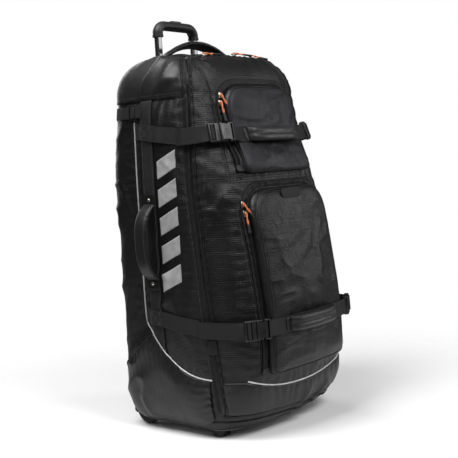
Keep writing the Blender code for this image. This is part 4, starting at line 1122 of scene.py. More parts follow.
# straight sides, square bottom corners and well rounded top corners
def domeOutline(lid, grow=0.0, step=0.0045):
    half, low = lid["width"] / 2 + grow, lid["bottom"] - grow
    high = lid["bottom"] + lid["height"] + grow
    corners = [(half, low, 0.06), (half, high, 0.24), (-half, high, 0.24), (-half, low, 0.06)]
    points = []
    for i, (x, z, share) in enumerate(corners):
        before, after = Vector(corners[i - 1][:2]), Vector(corners[(i + 1) % 4][:2])
        points += bend(before, Vector((x, z)), after, lid["width"] * share + grow, 10)
    return evenly(points + points[:1], step)[:-1]


def faceAt(x, z, out=0.0):
    p = onBody(z, acrossTo(z, x))
    return Vector((p.x, p.y - out, z))


# the filled pocket's own soft form: full between the strap and the edges, creased across
def lidRelief(lid, x, z, share):
    p = Vector((x, lid["depth"] * 3, z))
    press = math.exp(-((z - lid["strap"]) / 0.030) ** 2)
    full = (1 - share ** 4) * (1 - press)
    bent = p + noise.noise_vector(p * 7) * 0.03
    ridge = max(1 - abs(noise.noise(Vector((bent.x * 10 + bent.z * 9, 2.0, bent.z * 22 - bent.x * 7))))
                * 2.6, 0) ** 1.6
    drawn = math.sin((x * 0.9 + noise.noise(p * 14) * 0.02) * 190) * math.exp(-abs(z - lid["strap"]) / 0.035)
    return (0.0052 * full + 0.0030 * noise.noise(p * 11) * full + 0.0036 * ridge * (1 - press)
            * (1 - share ** 8)
            + 0.0012 * drawn * (1 - press) * (1 - share ** 6) - 0.0016 * press)


def makeLid(name, lid):
    outer = domeOutline(lid)
    middle = Vector((0, lid["bottom"] + lid["height"] / 2))
    deep = lid["depth"]
    rings = [(1.0, 0.0040), (1.006, deep * 0.30), (1.002, deep * 0.58), (0.988, deep * 0.80),
             (0.965, deep * 0.93),
             (0.93, deep * 0.99)] + [(0.90 - 0.85 * i / 20, deep) for i in range(21)]
    bm = bmesh.new()
    uv = bm.loops.layers.uv.verify()
    places = {}
    grid = []
    for share, out in rings:
        row = []
        for p in outer:
            x, z = middle + (p - middle) * share
            vert = bm.verts.new(faceAt(x, z, out + lidRelief(lid, x, z, min(share, 1)) * clamp(out / deep)))
            places[vert] = (x, z)
            row.append(vert)
        grid.append(row)
    for a, b in zip(grid, grid[1:]):
        for i in range(len(outer)):
            j = (i + 1) % len(outer)
            bm.faces.new((a[i], a[j], b[j], b[i]))
    bm.faces.new(grid[-1])
    for face in bm.faces:
        for loop in face.loops:
            loop[uv].uv = places[loop.vert]
    faceOut(bm, awayFromBag)
    body = name + "_pocket"
    made = pieceFrom(name + "PocketLid", bm, [lid["cloth"], "lining"], None)
    wear(made, "SOLIDIFY", thickness=0.0024, offset=-1, material_offset=1, material_offset_rim=0)
    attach(made, body)
    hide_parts(name + "_pocket_lid")

    edge = []
    for p in outer:
        x, z = middle + (p - middle) * 0.980
        edge.append(faceAt(x, z, deep * 0.86 + 0.0006))
    tube(name + "PocketBinding", edge, 0.0016, "binding", body, closed=True)
    run = []
    for p in outer:
        x, z = middle + (p - middle) * 0.945
        run.append((faceAt(x, z, deep * 0.975 + lidRelief(lid, x, z, 0.945)), Vector((0, -1, 0))))
    stitch(body, run)


def pocketZip(name, lid):
    left, right = lid["zipStops"]
    path = [p for p in domeOutline(lid, 0.0086, 0.003)
            if p.y > (right if p.x > 0 else left) and p.y > lid["bottom"] + 0.004]
    frames = []
    for i, place in enumerate(path):
        p, out = skin(place.y, acrossTo(place.y, place.x), 0.0006)
        a, b = path[max(i - 1, 0)], path[min(i + 1, len(path) - 1)]
        along = (faceAt(b.x, b.y) - faceAt(a.x, a.y)).normalized()
        frames.append((p, out, along.cross(out).normalized()))
    outward = 1 if frames[5][2].x > 0 else -1
    zipHalf(name + "PocketZipOuter", "flap", frames, outward, tape=0.0080)
    zipHalf(name + "PocketZipInner", name + "_pocket", frames, -outward, tape=0.0066)
    seam = [skin(p.y, acrossTo(p.y, p.x), 0.0007)[0] for p in domeOutline(lid, 0.0180, 0.004)
            if p.y > lid["bottom"] + 0.004]
    tube(name + "PocketSeam", seam, trim["fine"], "binding", "flap")
    stitch("flap", [skin(p.y, acrossTo(p.y, p.x), 0.0002) for p in domeOutline(lid, 0.0225, 0.004)
                    if p.y > lid["bottom"] + 0.004])
    for (p, out, _), tag in ((frames[0], "Right"), (frames[-1], "Left")):
        tab(name + "ZipGarage" + tag, p + out * 0.0026, Vector((0, 0, 1)), out, (0.024, 0.016), "flap")


# a small round-ended tab of coated cloth
def tab(name, middle, up, out, size, body, finish="coatedDark"):
    up = (up - out * up.dot(out)).normalized()
    across = up.cross(out).normalized()
    bm = bmesh.new()
    ring = []
    for k in range(28):
        turn = 2 * math.pi * k / 28
        x, z = math.cos(turn), math.sin(turn)
        ring.append((math.copysign(abs(x) ** 0.5, x) * size[0] / 2,
                     math.copysign(abs(z) ** 0.5, z) * size[1] / 2))
    layers = []
    for grow, lift in ((1.0, 0), (1.0, 0.0008), (0.93, 0.0014), (0.80, 0.0011), (0.40, 0.0015)):
        layers.append([bm.verts.new(middle + across * x * grow + up * z * grow + out * lift) for x,
                       z in ring])
    for a, b in zip(layers, layers[1:]):
        for i in range(28):
            bm.faces.new((a[i], a[(i + 1) % 28], b[(i + 1) % 28], b[i]))
    bm.faces.new(layers[-1])
    bm.faces.new(layers[0][::-1])
    bmesh.ops.recalc_face_normals(bm, faces=bm.faces[:])
    return pieceFrom(name, bm, finish, body, sharp=50)


def zipHood():
    lid = lids["lower"]
    x, z = -0.012, lid["bottom"] + lid["height"] - 0.0145
    p = faceAt(x, z, lid["depth"] * 1.02 + 0.0030)
    tab("zipHood", p, Vector((0, 0, 1)), Vector((0, -1, 0.12)).normalized(), (0.076, 0.024), "lower_pocket",
        "binding")


for name, lid in lids.items():
    makeLid(name, lid)
    pocketZip(name, lid)
zipHood()
print("pockets filled and zipped")


web = {"width": 0.038, "thick": 0.0017, "upright": 0.064, "rear": 0.100, "slope": 0.15}
jointAxis = {joint["name"]: Vector(joint["axis"]) for joint in frame["joints"]}


def middleOf(node):
    low, high = (Vector(corner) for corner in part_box(node))
    return (low + high) / 2


def fineFrames(frames, step=0.004):
    found = []
    last = len(frames) - 1
    for i in range(last):
        a, b, c, d = (frames[clamp(k, 0, last)] for k in (i - 1, i, i + 1, i + 2))
        count = max(1, round((c[0] - b[0]).length / step))
        for j in range(count + (i == last - 1)):
            t = j / count
            place = b[0] + ((c[0] - a[0]) * t + (a[0] * 2 - b[0] * 5 + c[0] * 4 - d[0]) * t * t
                            + (b[0] * 3 - a[0] - c[0] * 3 + d[0]) * t ** 3) * 0.5
            found.append((place, b[1].lerp(c[1], t).normalized(), b[2].lerp(c[2], t).normalized()))
    return found


def ribbon(name, frames, width, body, node=None, thick=None, finish="webbing"):
    thick = thick or web["thick"]
    half, rounding = width / 2, 0.0006
    shape = [(-half, thick / 2), (-half + rounding, thick), (-half * 0.5, thick * 1.04), (0, thick * 1.06),
             (half * 0.5, thick * 1.04), (half - rounding, thick), (half, thick / 2), (half - rounding, 0),
             (0, 0), (-half + rounding, 0)]
    bm = bmesh.new()
    rows, lengths = [], [0.0]
    for i, (p, out, across) in enumerate(frames):
        across = (across - out * across.dot(out)).normalized()
        rows.append([p + across * u + out * v for u, v in shape])
        if i:
            lengths.append(lengths[-1] + (p - frames[i - 1][0]).length)
    around = [shape[b % len(shape)][0] for b in range(len(shape))] + [-half]
    grid = addRows(bm, rows, lambda a, b: (lengths[a], around[b]), closed=True)
    bm.faces.new(grid[0][::-1])
    bm.faces.new(grid[-1])
    bmesh.ops.recalc_face_normals(bm, faces=bm.faces[:])
    strap = pieceFrom(name, bm, finish, body, sharp=48)
    if node:
        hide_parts(node)
    return strap


# a frame of a strap that lies on the cloth, held up by the highest fold under it
def lying(z, y, side, lift=0.0006, across=Vector((0, 0, 1)), spread=0.017):
    s = roundTo(z, y, side)
    p, out = skin(z, s, 0, True)
    high = max(relief(p + across * (spread * k)) for k in (-1, -0.6, -0.2, 0.2, 0.6, 1))
    return p + out * (high + lift), out, across


def edgeAt(z):
    return onBody(z, rimAt(z)).y + 0.012


def smoothed(frames, times=3):
    for _ in range(times):
        middle = [((a[0] + b[0] * 2 + c[0]) / 4, b[1], b[2]) for a, b,
                  c in zip(frames, frames[1:], frames[2:])]
        frames = [frames[0]] + middle + [frames[-1]]
    return frames


def sideHarness(side):
    y = web["upright"] + form["shift"]

    def place(u, v):
        at = web["upright"] + web["width"] * (v - 0.5)
        low = guardTop(at) + 0.0012
        z = low + (0.795 - low) * u
        return z, roundTo(z, at + form["shift"], side)
    layPatch(sideName("uprightWebbing", side), "root", "webbing", 110, 8, place, 0.0006, web["thick"],
             node=tagged("side_webbing", side), turned=True)
    for share in (0.09, 0.91):
        stitch("root", [skin(*place(k / 120, share), web["thick"] + 0.0008) for k in range(1, 121)])
    for name, z in (("upper", lids["upper"]["strap"]), ("lower", lids["lower"]["strap"])):
        front = edgeAt(z) + 0.0150
        rear = web["rear"] + form["shift"]
        frames = []
        for i in range(45):
            at = rear + (front - rear) * i / 44
            over = web["thick"] * clamp((0.0225 - abs(at - y)) / 0.004)
            height = z + web["slope"] * (at - edgeAt(z))
            frames.append(lying(height, at, side, 0.0012 + over))
        frames = smoothed(frames)
        ribbon(sideName(name + "SewnStrap", side), frames, web["width"], "root")
        boxStitch(frames, y)
        p, out, across = min(frames, key=lambda f: abs(f[0].y - rear - 0.004))
        stitch("root", [(p + across * k + out * (web["thick"] + 0.0002), out)
                        for k in (-0.016, -0.008, 0, 0.008, 0.016)])


# the sewn box and cross where two straps meet
def boxStitch(frames, y):
    middle, out, up = min(frames, key=lambda f: abs(f[0].y - y))
    along = Vector((0, -1, 0))
    along = (along - out * along.dot(out)).normalized()
    top = middle + out * (web["thick"] * 1.06 + 0.0003)
    half = 0.0145
    corners = [top + along * a * half + up * b * half for a, b in ((-1, -1), (1, -1), (1, 1), (-1, 1),
                                                                   (-1, -1), (1, 1))]
    for a, b in zip(corners, corners[1:] + [corners[3]]):
        stitch("root", [(a.lerp(b, i / 8), out) for i in range(9)], 0.0036, 0.0026)
    stitch("root", [(corners[1].lerp(corners[3], i / 8), out) for i in range(9)], 0.0036, 0.0026)


# along, outward and up the slope at a buckle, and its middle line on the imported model
def buckleFrame(name, side):
    along = -jointAxis[f"{name}_buckle_{'left' if side < 0 else 'right'}_release"]
    along = along.normalized()
    along = along if along.x * side < 0 else -along
    middle = middleOf(tagged(f"{name}_buckle_female", side))
    _, out = skin(middle.z, acrossTo(middle.z, middle.x), 0, True)
    out = (out - along * out.dot(along)).normalized()
    return middle - along * 0.017 - out * 0.0065, along, out, along.cross(out).normalized()


def freeStrap(name, side):
    z = lids[name]["strap"]
    edge = edgeAt(z)
    start, out, _ = lying(z, edge + 0.0165, side, 0.0012)
    origin, along, outward, across = buckleFrame(name, side)
    across = across if across.z > 0 else -across
    tail = origin + outward * 0.0030 - along * 0.0290
    bend = Vector((start.x + 0.0040 * side, edge - 0.004, z))
    slant = Vector((0.75 * side, -0.66, 0))
    up = Vector((0, 0, 1))
    frames = fineFrames([(start, out, up), (bend, Vector((0.9 * side, -0.4, 0)).normalized(), up),
                         (bend.lerp(tail, 0.5) + slant * 0.0035, slant, up.lerp(across, 0.6)),
                         (tail, outward, across)], 0.0035)
    strap = ribbon(sideName(name + "FreeStrap", side), frames, web["width"], None, None)
    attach(strap, "root")
    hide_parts(tagged(f"{name}_strap", side))
    tuple(-along)
    tuple(start)
    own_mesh(strap)

    rise = ((-0.0285, 0.0030), (-0.0235, 0.0060), (-0.0205, 0.0118), (-0.0182, 0.0128), (-0.0160, 0.0118),
            (-0.0135, 0.0060), (-0.0105, 0.0020), (-0.0060, 0.0004))
    frames = []
    for i, (a, lift) in enumerate(rise):
        before, after = rise[max(i - 1, 0)], rise[min(i + 1, len(rise) - 1)]
        tangent = along * (after[0] - before[0]) + outward * (after[1] - before[1])
        frames.append((origin + along * a + outward * lift, across.cross(tangent).normalized(), across))
    flip = 1 if frames[3][1].dot(outward) > 0 else -1
    frames = [(p, o * flip, c) for p, o, c in frames]
    ribbon(sideName(name + "BuckleLoop", side), fineFrames(frames, 0.0012), web["width"] * 0.98,
           tagged(f"{name}_buckle", side), None, 0.0014)


def slopeFrame(x, z, out):
    low, high = faceAt(x, z - 0.019, out), faceAt(x, z + 0.019, out)
    up = (high - low).normalized()
    outward = Vector((1, 0, 0)).cross(up)
    return low.lerp(high, 0.5), outward if outward.y < 0 else -outward, up


def frontStraps(name):
    lid = lids[name]
    z, deep, body = lid["strap"], lid["depth"], name + "_pocket"
    origin, along, outward, across = buckleFrame(name, 1)
    across = across if across.z > 0 else -across
    end = origin + outward * 0.0034 + along * 0.0290
    right = [(end, outward, across), (end + along * 0.008 + outward * 0.0006, outward, across)]
    right += [slopeFrame(lid["width"] / 2 * share, z, deep + 0.0014) for share in (0.93, 0.72, 0.36, 0.0)]
    left = [tuple(Vector((-v.x, v.y, v.z)) for v in f) for f in right[-2::-1]]
    ribbon(name + "FrontWebbing", fineFrames(right + left), web["width"], body, name + "_front_webbing")


for side in (-1, 1):
    sideHarness(side)
for name in lids:
    frontStraps(name)
    for side in (-1, 1):
        freeStrap(name, side)
print("webbing sewn")


def padded(name, frames, width, thick, body, node, finish, groove=0.0):
    bm = bmesh.new()
    rows, lengths = [], [0.0]
    count = 32
    for i, (p, out, across) in enumerate(frames):
        share = i / (len(frames) - 1)
        fat = min(1.0, 0.42 + 5.2 * min(share, 1 - share))
        out = (out - across * out.dot(across)).normalized()
        row = []
        for k in range(count):
            turn = 2 * math.pi * k / count
            u, v = math.cos(turn), math.sin(turn)
            wide = math.copysign(abs(u) ** 0.72, u) * width / 2 * (0.90 + 0.10 * fat)
            high = math.copysign(abs(v) ** 0.80, v) * thick / 2 * fat
            if v > 0:
                high -= groove * math.exp(-(wide / 0.0022) ** 2) * fat
            pucker = 0.0005 * math.sin(share * (len(frames) * 0.004) * 420 + 3
                                       * noise.noise(p * 40)) * abs(u) ** 3
            row.append(p + across * wide + out * (high + pucker + 0.0007
                                                  * noise.noise(p * 60 + across * wide * 60)))
        rows.append(row)
        if i:
            lengths.append(lengths[-1] + (p - frames[i - 1][0]).length)
    grid = addRows(bm, rows, lambda a, b: (lengths[a], b * 2 * (width + thick) / count), closed=True)
    bm.faces.new(grid[0][::-1])
    bm.faces.new(grid[-1])
    bmesh.ops.recalc_face_normals(bm, faces=bm.faces[:])
    grip = pieceFrom(name, bm, finish, None)
    wear(grip, "SUBSURF", levels=1, render_levels=1)
    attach(grip, body)
    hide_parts(node)
    return grip


def gripStitches(frames, body, offset, lift):
    for side in (-1, 1):
        stitch(body, [(p + across * offset * side + out * lift, out) for p, out, across in frames[4:-4]])


def frontGrip(name):
    lid = lids[name]
    half, stand = 0.090, 0.014
    frames = []
    for i in range(25):
        t = -1 + 2 * i / 24
        rise = stand * math.sqrt(max(1 - t ** 4, 0.0))
        lean = stand * 2 * t ** 3 / half
        p, out, up = slopeFrame(t * half, lid["strap"], lid["depth"] + 0.0044 + rise)
        frames.append((p, (out + Vector((lean, 0, 0))).normalized(), up))
    frames = fineFrames(frames, 0.003)
    padded(name + "FrontGrip", frames, 0.0345, 0.0125, name + "_pocket", name + "_front_grip", "coated",
           0.0030)
    gripStitches(frames, name + "_pocket", 0.0020, 0.0040)
    for t in (-1, 1):
        p, out, up = slopeFrame(t * (half + 0.004), lid["strap"], lid["depth"] + 0.0036)
        tab(name + "GripEnd" + ("Left" if t < 0 else "Right"), p, up, out, (0.020, 0.030), name + "_pocket")


def sideGrip(side):
    half, stand, middle = 0.089, 0.036, 0.463
    y = web["upright"] + form["shift"]
    frames = []
    for i in range(41):
        t = -1 + 2 * i / 40
        z = middle + t * half
        rise = stand * (1 - abs(t) ** 3.2)
        lean = stand * 3.2 * abs(t) ** 2.2 * math.copysign(1, t) / half
        base = onBody(z, roundTo(z, y, side))
        out = Vector((side, 0, clamp(lean, -1.1, 1.1))).normalized()
        frames.append((Vector((base.x + side * (0.0060 + rise), y, z)), out, Vector((0, 1, 0))))
    frames = fineFrames(frames, 0.003)
    padded(sideName("sideGrip", side), frames, 0.0365, 0.0135, "root", tagged("side_grip", side), "coated")
    gripStitches(frames, "root", 0.0140, 0.0052)
    for z in (middle + half + 0.010, middle - half - 0.008):
        p, out, _ = lying(z, y, side, 0.0026, Vector((0, 1, 0)))
        tab(sideName(f"gripAnchor{'High' if z > middle else 'Low'}", side), p, Vector((0, 0, 1)), out,
            (0.034, 0.030), "root")
        rivet(sideName(f"rivet{'High' if z > middle else 'Low'}", side), p + out * 0.0022, out)


def topGrip():
    half, y = 0.125, 0.096 + form["shift"]
    end = crownAt(half, y) + 0.0055
    high = form["top"] + 0.0087 + 0.042
    frames = []
    for i in range(41):
        t = -1 + 2 * i / 40
        z = end + (high - end) * (1 - t * t)
        lean = 2 * (high - end) * t / half
        frames.append((Vector((t * half, y, z)), Vector((lean, 0, 1)).normalized(),
                       Vector((0, 1, -0.30)).normalized()))
    frames = fineFrames(frames, 0.003)
    padded("topGrip", frames, 0.0345, 0.0125, "root", "top_grip", "gusset")
    gripStitches(frames, "root", 0.0130, 0.0050)
    for side in (-1, 1):
        p, out = crownSkin(side * (half - 0.002), y, 0.0004)
        tab(sideName("topGripAnchor", side), p, Vector((0, 1, 0)), out, (0.044, 0.040), "root")


def rivet(name, middle, out):
    bpy.ops.mesh.primitive_uv_sphere_add(segments=20, ring_count=10, radius=0.0046)
    cap = bpy.context.object
    turn = out.to_track_quat("Z", "Y").to_matrix().to_4x4()
    squeeze = Matrix.Diagonal((1, 1, 0.42, 1))
    cap.data.transform(Matrix.Translation(middle) @ turn @ squeeze)
    cap.name = name
    cap.data.materials.append(finishes["nickel"])
    cap.data.shade_smooth()
    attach(cap, "root")


for name in lids:
    frontGrip(name)
for side in (-1, 1):
    sideGrip(side)
topGrip()
print("grips padded")


# axes: the three directions of the template's own X, Y and Z
def copyOf(template, name, origin, axes, body, node=None):
    mesh = template.data.copy()
    turn = Matrix(axes).transposed().to_4x4()
    mesh.transform(Matrix.Translation(origin) @ turn)
    made = bpy.data.objects.new(name, mesh)
    bpy.context.scene.collection.objects.link(made)
    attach(made, body)
    if node:
        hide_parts(*([node] if isinstance(node, str) else node))
    return made


def block(low, high, soften=0.0, segments=3):
    restNothing()
    bpy.ops.mesh.primitive_cube_add(size=1)
    made = bpy.context.object
    size = [b - a for a, b in zip(low, high)]
    made.data.transform(Matrix.Translation([(a + b) / 2 for a,
                                            b in zip(low, high)]) @ Matrix.Diagonal((*size, 1)))
    if soften:
        wear(made, "BEVEL", width=soften, segments=segments, limit_method="NONE")
    return made


def cutWith(made, tool, operation="DIFFERENCE"):
    cut = made.modifiers.new("cut", "BOOLEAN")
    cut.operation, cut.object, cut.solver = operation, tool, "EXACT"
    restNothing()
    bpy.context.view_layer.objects.active = made
    made.select_set(True)
    bpy.ops.object.modifier_apply(modifier=cut.name)
    bpy.data.objects.remove(tool)


def finished(made, finish, angle=35):
    made.data.materials.clear()
    made.data.materials.append(finishes[finish])
    made.data.shade_smooth()
    made.data.set_sharp_from_angle(angle=math.radians(angle))
    return made


buckle = {"half": 0.023, "thick": 0.013, "female": 0.034, "male": 0.028}


def femaleTemplate():
    half, thick = buckle["half"], buckle["thick"]
    made = block((0, 0, -half), (buckle["female"], thick, half), 0.0028)
    cutWith(made, block((-0.01, 0.0030, -half + 0.004), (0.024, thick - 0.0030, half - 0.004)))
    cutWith(made, block((0.0262, -0.01, -half + 0.0040), (0.0306, 0.03, half - 0.0040), 0.0006, 2))
    for side in (-1, 1):
        low, high = sorted((side * (half - 0.0052), side * (half + 0.01)))
        cutWith(made, block((0.0050, -0.01, low), (0.0205, 0.03, high), 0.0015, 2))
    for k in range(3):
        cutWith(made, block((0.0120 + 0.0030 * k, thick - 0.0006, -0.0080),
                            (0.0134 + 0.0030 * k, 0.02, 0.0080)))
    return finished(made, "plastic")


def maleTemplate():
    half, thick = buckle["half"], buckle["thick"] * 0.9
    made = block((-buckle["male"], 0, -half), (-0.0004, thick, half), 0.0026)
    cutWith(made, block((-0.0245, -0.01, -half + 0.0038), (-0.0203, 0.03, half - 0.0038), 0.0006, 2))
    cutWith(made, block((-0.0163, -0.01, -half + 0.0038), (-0.0120, 0.03, half - 0.0038), 0.0006, 2))
    cutWith(made, block((-0.006, 0.0044, -0.0050), (0.021, 0.0086, 0.0050), 0.0008, 2), "UNION")
    for side in (-1, 1):
        low, high = sorted((side * (half - 0.0105), side * (half - 0.0056)))
        cutWith(made, block((-0.006, 0.0040, low), (0.017, 0.0090, high), 0.0010, 2), "UNION")
        low, high = sorted((side * (half - 0.0090), side * (half - 0.0012)))
        cutWith(made, block((0.0066, 0.0036, low), (0.0176, 0.0094, high), 0.0016, 3), "UNION")
    return finished(made, "plastic")


def makeBuckles():
    female, male = femaleTemplate(), maleTemplate()
    for name in lids:
        for side in (-1, 1):
            origin, along, out, across = buckleFrame(name, side)
            copyOf(female, sideName(name + "BuckleSocket", side), origin, (along, out, across),
                   name + "_pocket",
                   tagged(f"{name}_buckle_female", side))
            copyOf(male, sideName(name + "BucklePlug", side), origin, (along, out, across),
                   tagged(f"{name}_buckle", side), tagged(f"{name}_buckle_male", side))
    for made in (female, male):
        bpy.data.objects.remove(made)


def rearStraps():
    lock = block((-0.0135, 0, -0.019), (0.0150, 0.007, 0.019), 0.0022)
    cutWith(lock, block((-0.0097, -0.02, -0.0150), (-0.0012, 0.03, 0.0150), 0.0006, 2))
    cutWith(lock, block((0.0026, -0.02, -0.0150), (0.0110, 0.03, 0.0150), 0.0006, 2))
    finished(lock, "plastic")
    for side in (-1, 1):
        low, high = (Vector(c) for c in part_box(tagged("rear_slider", side)))
        origin = Vector((low.x if side > 0 else high.x, low.y + 0.0135, (low.z + high.z) / 2))
        copyOf(lock, sideName("ladderLock", side), origin, (Vector((0, 1, 0)), Vector((side, 0, 0)),
                                                            Vector((0, 0, -side))), "root",
               tagged("rear_slider", side))
        y = origin.y
        frames = smoothed([lying(origin.z, y + 0.060 - 0.0046 * i, side, 0.0010, spread=0.013)
                           for i in range(11)])
        up = frames[-1][2]
        frames += [(origin + Vector((side * lift, ahead, 0)), Vector((side, 0, 0)), up)
                   for ahead, lift in ((0.0085, 0.0040), (0.0045, 0.0072), (0.0005, 0.0080),
                                       (-0.0030, 0.0072),
                                       (-0.0070, 0.0030))]
        ribbon(sideName("rearStrap", side), fineFrames(frames, 0.002), 0.029, "root",
               tagged("rear_strap", side))
        ahead = [lying(origin.z, y - 0.010 - 0.004 * i, side, 0.0010, spread=0.013) for i in range(6)]
        ribbon(sideName("rearStrapAnchor", side), smoothed(ahead), 0.029, "root")
    bpy.data.objects.remove(lock)


slider = {"width": 0.0095, "length": 0.0135, "high": 0.0042}


# X across the zip, Y outwards, Z towards the closed end
def sliderTemplate():
    wide, long, high = slider["width"] / 2, slider["length"] / 2, slider["high"]
    made = block((-wide, 0.0012, -long), (wide, 0.0012 + high, long), 0.0)
    for vert in made.data.vertices:
        if vert.co.z < 0:
            vert.co.x *= 0.66
    wear(made, "BEVEL", width=0.0011, segments=3, limit_method="NONE")
    cutWith(made, block((-0.0011, -0.01, -0.02), (0.0011, 0.0026, 0.0)))
    bridge = block((-0.0012, 0.0040, -0.0048), (0.0012, 0.0090, 0.0048), 0.0009)
    cutWith(bridge, block((-0.01, 0.0030, -0.0028), (0.01, 0.0072, 0.0028), 0.0006, 2))
    cutWith(made, bridge, "UNION")
    return finished(made, "nickel")


# Y outwards from the cloth, Z down the pull
def pullTemplates():
    cord = bmesh.new()
    strands = []
    for lean in (-1, 1):
        row = []
        for i in range(13):
            t = i / 12
            twist = 1.7 * math.pi * t
            row.append(Vector((lean * 0.0015 * math.cos(twist), lean * 0.0012 * math.sin(twist), 0.027 * t)))
        strands.append(row)
    loop = [Vector((0.0022 * math.cos(math.pi * k / 8), 0, -0.0022 * math.sin(math.pi * k / 8)))
            for k in range(1, 8)]
    path = strands[1][::-1] + loop + strands[0]
    previous = Vector((0, 1, 0))
    rings = []
    for i, p in enumerate(path):
        along = (path[min(i + 1, len(path) - 1)] - path[max(i - 1, 0)]).normalized()
        side = along.cross(previous).normalized()
        previous = side.cross(along).normalized()
        rings.append([p + (side * math.cos(k * math.pi / 4) + previous * math.sin(k * math.pi / 4)) * 0.00135
                      for k in range(8)])
    grid = addRows(cord, rings, lambda a, b: (a * 0.002, b * 0.001), closed=True)
    cord.faces.new(grid[0][::-1])
    cord.faces.new(grid[-1])
    bmesh.ops.recalc_face_normals(cord, faces=cord.faces[:])
    mesh = bpy.data.meshes.new("pullCord")
    cord.to_mesh(mesh)
    cord.free()
    strand = bpy.data.objects.new("pullCord", mesh)
    bpy.context.scene.collection.objects.link(strand)
    finished(strand, "orange", 60)
    tip = block((-0.0042, -0.0027, 0.0235), (0.0042, 0.0027, 0.0455), 0.0)
    for vert in tip.data.vertices:
        if vert.co.z < 0.03:
            vert.co.x *= 0.62
            vert.co.y *= 0.85
    wear(tip, "BEVEL", width=0.0016, segments=3, limit_method="NONE")
    for k in range(3):
        cutWith(tip, block((-0.0026, 0.0022, 0.0320 + 0.0038 * k), (0.0026, 0.01, 0.0336 + 0.0038 * k)))
    return strand, finished(tip, "plasticSoft")


def hangPull(name, at, down, out, body, cord, tip, node=None):
    across = out.cross(down).normalized()
    copyOf(cord, name + "Cord", at, (across, out, down), body, node)
    copyOf(tip, name + "End", at, (across, out, down), body, None)


def zipHardware():
    made = sliderTemplate()
    cord, tip = pullTemplates()
    for name in lids:
        axis = jointAxis[name + "_zip_run"].normalized()
        middle = middleOf(name + "_zip_slider")
        _, out = skin(middle.z, acrossTo(middle.z, middle.x), 0.0006)
        out = (out - axis * out.dot(axis)).normalized()
        at = Vector((middle.x, middle.y, middle.z)) - out * 0.0032
        up = -axis
        copyOf(made, name + "ZipSlider", at, (out.cross(up), out, up), name + "_zip_slider",
               name + "_zip_slider")
        hook = at + out * 0.0086
        lean = (axis + out * 0.02).normalized()
        hangPull(name + "Pull", hook, lean, (out - lean * out.dot(lean)).normalized(), name + "_zip_pull",
                 cord, tip,
                 name + "_zip_pull")
        second = [0.018, 0.021][name == "lower"]
        z = middle.z + second
        x = middle.x if name == "lower" else middle.x + 0.006
        p, out = skin(z, acrossTo(z, x), 0.0006)
        copyOf(made, name + "SecondSlider", p + out * 0.0004, (out.cross(-up), out, -up), "flap", None)
        swing = (axis + Vector((0.55, 0, 0)) * [0.6, 1.0][name == "lower"]).normalized()
        swing = (swing - out * swing.dot(out) + out * 0.10).normalized()
        hangPull(name + "SecondPull", p + out * 0.0100, swing, (out - swing * out.dot(swing)).normalized(),
                 "flap",
                 cord, tip)
    for side in (-1, 1):
        middle = middleOf(tagged("main_zip_slider", side))
        p, out = crownSkin(side * 0.092, middle.y, 0.0012)
        along = Vector((side, 0, 0))
        along = (along - out * along.dot(out)).normalized()
        copyOf(made, sideName("mainZipSlider", side), p, (out.cross(along), out, along),
               tagged("main_zip_slider", side), tagged("main_zip_slider", side))
        hang = (along * (-0.8 if side < 0 else 0.75) + Vector((0, -0.40, 0))).normalized()
        hang = (hang - out * hang.dot(out) - out * 0.06).normalized()
        hangPull(sideName("mainPull", side), p + out * 0.0068, hang,
                 (out - hang * out.dot(hang)).normalized(),
                 tagged("main_zip_slider", side), cord, tip)
    p, out = crownSkin(0.022, middle.y, 0.0012)
    along = Vector((1, 0, 0))
    copyOf(made, "mainThirdSlider", p, (out.cross(along), out, along), "flap", None)
    hang = (along * 0.55 + Vector((0, -0.60, 0))).normalized()
    hang = (hang - out * hang.dot(out) - out * 0.06).normalized()
    hangPull("mainThirdPull", p + out * 0.0068, hang, (out - hang * out.dot(hang)).normalized(), "flap",
             cord, tip)
    for piece in (made, cord, tip):
        bpy.data.objects.remove(piece)


makeBuckles()
rearStraps()
zipHardware()
print("buckles, locks and zip sliders set")


trolley = {"reach": 0.067, "bar": 0.024, "bend": 0.022, "leg": 0.042, "deep": 0.0145}


